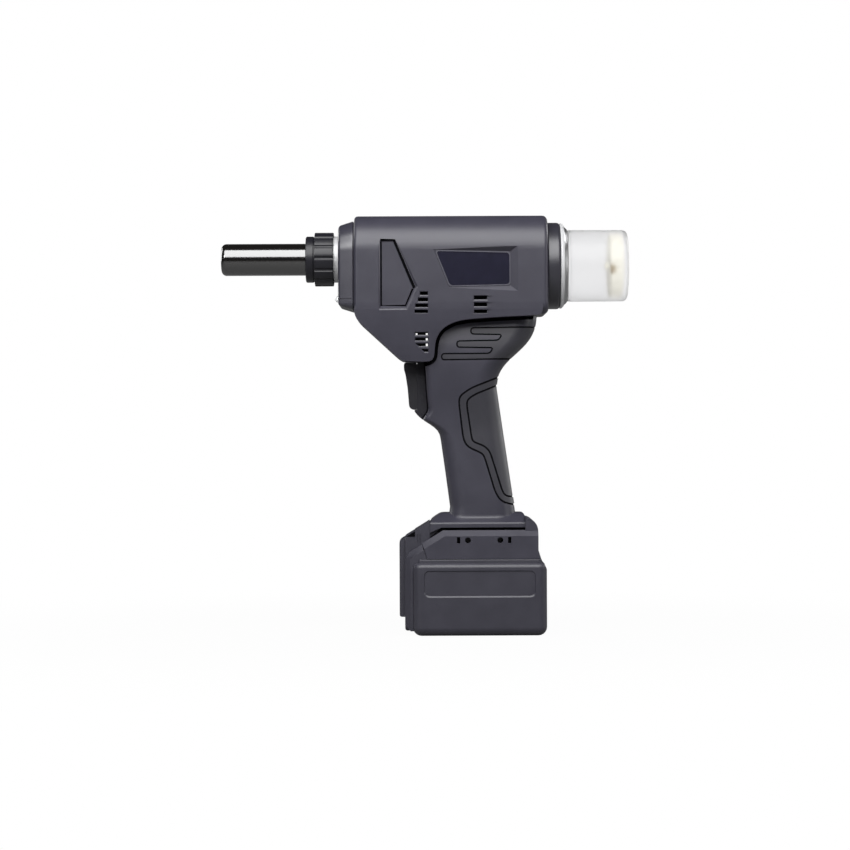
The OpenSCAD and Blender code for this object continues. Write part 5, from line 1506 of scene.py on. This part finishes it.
@dataclass
class Battery:
    """Battery case, lid, front panel and latch."""

    front: float = -9.6
    length: float = 99.8
    half: float = 38.0
    high: float = 54.2
    slope: float = math.tan(math.radians(31.5))
    notch: Line = ((-14.6, 73.2), (-7.8, 73.0), (-7.8, 84), (-14.6, 80))
    label: Vent = (-0.8, 81.2, 29.8, 48.2)
    panel_front: float = -15.4
    latch_front: float = -19.5

    def plan(self, inset: float) -> Outline:
        """Returns the case's outline from above, drawn in by an inset."""
        x0, y, r = self.front + inset, self.half - inset, max(1.0, 6.5 - inset)
        return rounded((x0, self.front + self.length - inset), (-y, y), (r,) * 4, (8,) * 4)

    def build(self) -> None:
        """Makes the battery's outside."""
        self.tub().piece("battery_case", CASE, "battery", "battery_plastic", "battery_tub", crease=25)
        self.top().piece("battery_lid", CASE, "battery", "battery_plastic", "battery_top")
        # Painted shade: near-black sheets darken the back of the finger notches.
        self.notch_shade_sheets().piece("notch_painted_shade", GROOVE_SHADE, "battery", "battery_plastic")
        self.latch().piece("latch_button_ribbed", CASE, "latch", "battery_plastic", "latch_button")

    def tub(self) -> Solid:
        """Returns the case with its label recess on both sides."""
        case = Solid.prism(self.plan(0), Plane.PLAN, 0, self.high)
        for z, width in ((0.0, 7.6), (self.high, 4.0)):
            case.bevel(edges_at(2, z), width, 5)
        case.cut(Solid.prism(self.plan(6.4), Plane.PLAN, 3, self.high + 1),
                 Solid.prism(self.plan(3.4), Plane.PLAN, 7, 46))
        case.cut(Solid.prism([(86.4, 58), (90.4, 48.6), (97, 48.6), (97, 58)], Plane.SIDE, -45, 45))
        x0, x1, z0, z1 = self.label
        corners = [(x0, z0), (x1, z0), (x1, z1), (x0, z1)]
        grown = [(x0 - 0.5, z0 - 1.1), (x1 + 0.5, z0 - 1.1), (x1 + 0.5, z1 + 0.4), (x0 - 0.5, z1 + 0.4)]
        rim, floor = fillet(grown, 4.5, 5), fillet(corners, 4.5, 5)
        recess = Solid.stack(Plane.SIDE, (rim, -self.half - 1), (rim, -self.half), (floor, 0.7 - self.half))
        return case.cut(recess, recess.mirrored())

    def slope_z(self, x: float, drop: float) -> float:
        """Returns the height of the sloped front at a place."""
        return 80.5 - drop + x * self.slope

    def panel(self, drop: float, half: float, chamfer: float, rear: Line) -> Solid:
        """A sloped block of the front panel.

        Args:
            drop: How far its slope lies under the foot's.
            half: Half its width.
            chamfer: Chamfer of its edges.
            rear: Its rear edge from the slope down; the first height is the slope's own.

        Returns:
            The solid.
        """
        x0, x1 = self.panel_front, rear[0][0]
        line = [(x0, 3.5), (x0, self.slope_z(x0, drop)), (x1, self.slope_z(x1, drop)), *rear[1:],
                (rear[-1][0], 50.0), (-4.0, 50.0), (-4.0, 3.5)]

        def outer(a: Vector, b: Vector) -> bool:
            """Tells whether an edge lies at the panel's front or along its upper sides."""
            upper = on_one_side(a, b) and max(a.z, b.z) > 51 and max(a.x, b.x) < 0
            return upper or a.x + b.x < 2 * x0 + 0.1

        return Solid.prism(line, Plane.SIDE, -half, half).bevel(outer, chamfer, 1 if chamfer > 2 else 3)

    def top(self) -> Solid:
        """Returns the lid with the rail, the front panel and the room of the latch."""
        levels = ((50.5, 3.6), (56.0, 3.6), (56.5, 3.9), (56.7, 4.4))
        lid = Solid.stack(Plane.PLAN, *((self.plan(inset), z) for z, inset in levels))
        x0, x1 = self.latch_front, -14
        line = [(x0, 13.5), (x0, self.slope_z(x0, -1.4)), (x1, self.slope_z(x1, -1.4)), (x1, 13.5)]
        plate = Solid.prism(line, Plane.SIDE, -22, 22)
        plate.bevel(lambda a, b: a.x + b.x < 2 * x0 + 0.1, 1.6, 3)
        rail = Solid.box((-1, 80.07), (-21.5, 21.5), (52, 63.0))
        head = Solid.box((-1, 80.07), (-26.5, 26.5), (59.8, 63.0))
        wide = self.panel(11.2, 33, 4.2, [(-2.7, 0), (0.9, 57.3)])
        narrow = self.panel(-2.2, 25, 1.6, [(3.2, 0), (3.2, 66), (-0.3, 64)])
        lid.add(wide, narrow, plate, rail, head)
        lid.add(Solid.prism([(0, 66), (4.1, 66), (4.1, 84.4), (0, 81.8)], Plane.SIDE, -18, 18))
        lid.cut(Solid.box((-21, -6.6), (-12.3, 12.3), (56.7, 90)),
                Solid.box((-7, 5), (-12.3, 12.3), (56.7, 69)),
                Solid.rod(Plane.PLAN, (-12, 0), 2.3, (43, 62), 32))
        cuts = []
        for s in (-1, 1):
            y = 9 * s
            cuts.append(Solid.box((44.3, 62.3), (y - 3.3, y + 3.3), (51, 62)))
            cuts.append(Solid.box((44.3, 150), (y - 1, y + 1), (54.5, 64)))
            cuts.append(Solid.prism(self.notch, Plane.SIDE, *sorted((s * 16, s * 26))))
            cheek = tuple(sorted((s * 24.3, s * 26)))
            cuts += [Solid.box((x, x + 0.6), cheek, (69, 75.6)) for x in (-6.2, -4.3)]
        return lid.cut(*cuts)

    def notch_shade_sheets(self) -> Solid:
        """Returns painted shade: near-black sheets at the back walls of the two finger notches."""
        x0, x1 = -14.5, -7.9
        line = [(x0, 73.0), (x1, 73.0), (x1, self.slope_z(x1, -1.6)), (x0, self.slope_z(x0, -1.6))]
        near = Solid.prism(line, Plane.SIDE, -16.4, -15.6)
        return near.add(near.mirrored())

    def latch(self) -> Solid:
        """Returns the latch button with its thumb scoop and ribs."""
        x0, x1 = self.latch_front, -7.0
        line = [(x0, 61.0), (x0, self.slope_z(x0, -1.2)), (x1, self.slope_z(x1, -1.2)), (x1, 61.0)]
        button = Solid.prism(fillet(line, 0.8, 2), Plane.SIDE, -12, 12)
        button.bevel(on_one_side, 0.9, 3)
        scoop = Solid.rod(Plane.SIDE, (x0 + 6.25, self.slope_z(x0 + 6.25, -1.2) + 4), 8.0, (-8, 8), 40)
        ribs = [Solid.box((x0 - 1, x0 + 0.5), (-9, 9), (62.2 + 1.8 * i, 63.0 + 1.8 * i)) for i in range(3)]
        return button.cut(scoop, *ribs).add(Solid.box((-8, 3), (-8, 8), (64.4, 67.8)))


@dataclass(frozen=True)
class Spring:
    """A coil spring built at rest between two seats, beside a joint."""

    node: str
    body: str
    joint: str
    fixed: Vector
    moving: Vector
    radius: float
    turns: int
    travel: float
    wire: float = 0.9
    play: float = 0.1

    def build(self) -> None:
        """Makes the spring between its two seats."""
        span = self.moving - self.fixed
        along = span.normalized()
        inset = along * (self.wire / 2 + self.play)
        coil = Solid.coil(self.fixed + inset, self.moving - inset, self.radius, self.wire, self.turns)
        obj = coil.piece(f"{self.node}_coil", WIRE, self.body, "spring_steel", self.node)
        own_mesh(obj)


SPRINGS = (
    Spring("jaw_spring", "puller", "jaw_open",
           Vector((-93.3, 0, 282)), Vector((-106.3, 0, 282)), 3.6, 6, 1.5),
    Spring("trigger_spring", "body", "trigger_pull",
           Vector((14.0, 0, 183.5)), Vector((4.5, 0, 183.5)), 4.4, 4, 6.0),
    Spring("latch_spring", "battery", "latch_press",
           Vector((-12, 0, 43)), Vector((-12, 0, 61)), 1.4, 9, 4.0),
)


SHOWN = {"soft_rubber": RUBBER, "cast_aluminium": CAST, "screw_steel": SCREW, "tool_steel": STEEL,
         "inner_plastic": INNER, "circuit_board": BOARD, "cell_can": CELL}


def dress_solids() -> None:
    """Gives every solid of the frame that is still shown its finish."""
    slots = {s["node"]: s["material_slot"] for s in frame["record"]["subparts"]}
    for name, obj in frame["nodes"].items():
        if obj.hide_render:
            continue
        finish = SHOWN[slots[name]].material()
        for slot in obj.material_slots:
            slot.link = "OBJECT"
            slot.material = finish
        log.info("%s: %s", name, finish.name)


def main() -> None:
    """Builds the scene."""
    logging.basicConfig(level=logging.INFO, format="%(message)s")
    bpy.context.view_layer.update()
    Studio().build()
    barrel = Barrel()
    Housing(barrel, Belly(barrel), Handle(), Foot()).build()
    Nose(barrel).build()
    Rear().build()
    Trigger().build()
    Battery().build()
    for spring in SPRINGS:
        spring.build()
    dress_solids()


if __name__ == "__main__":
    main()
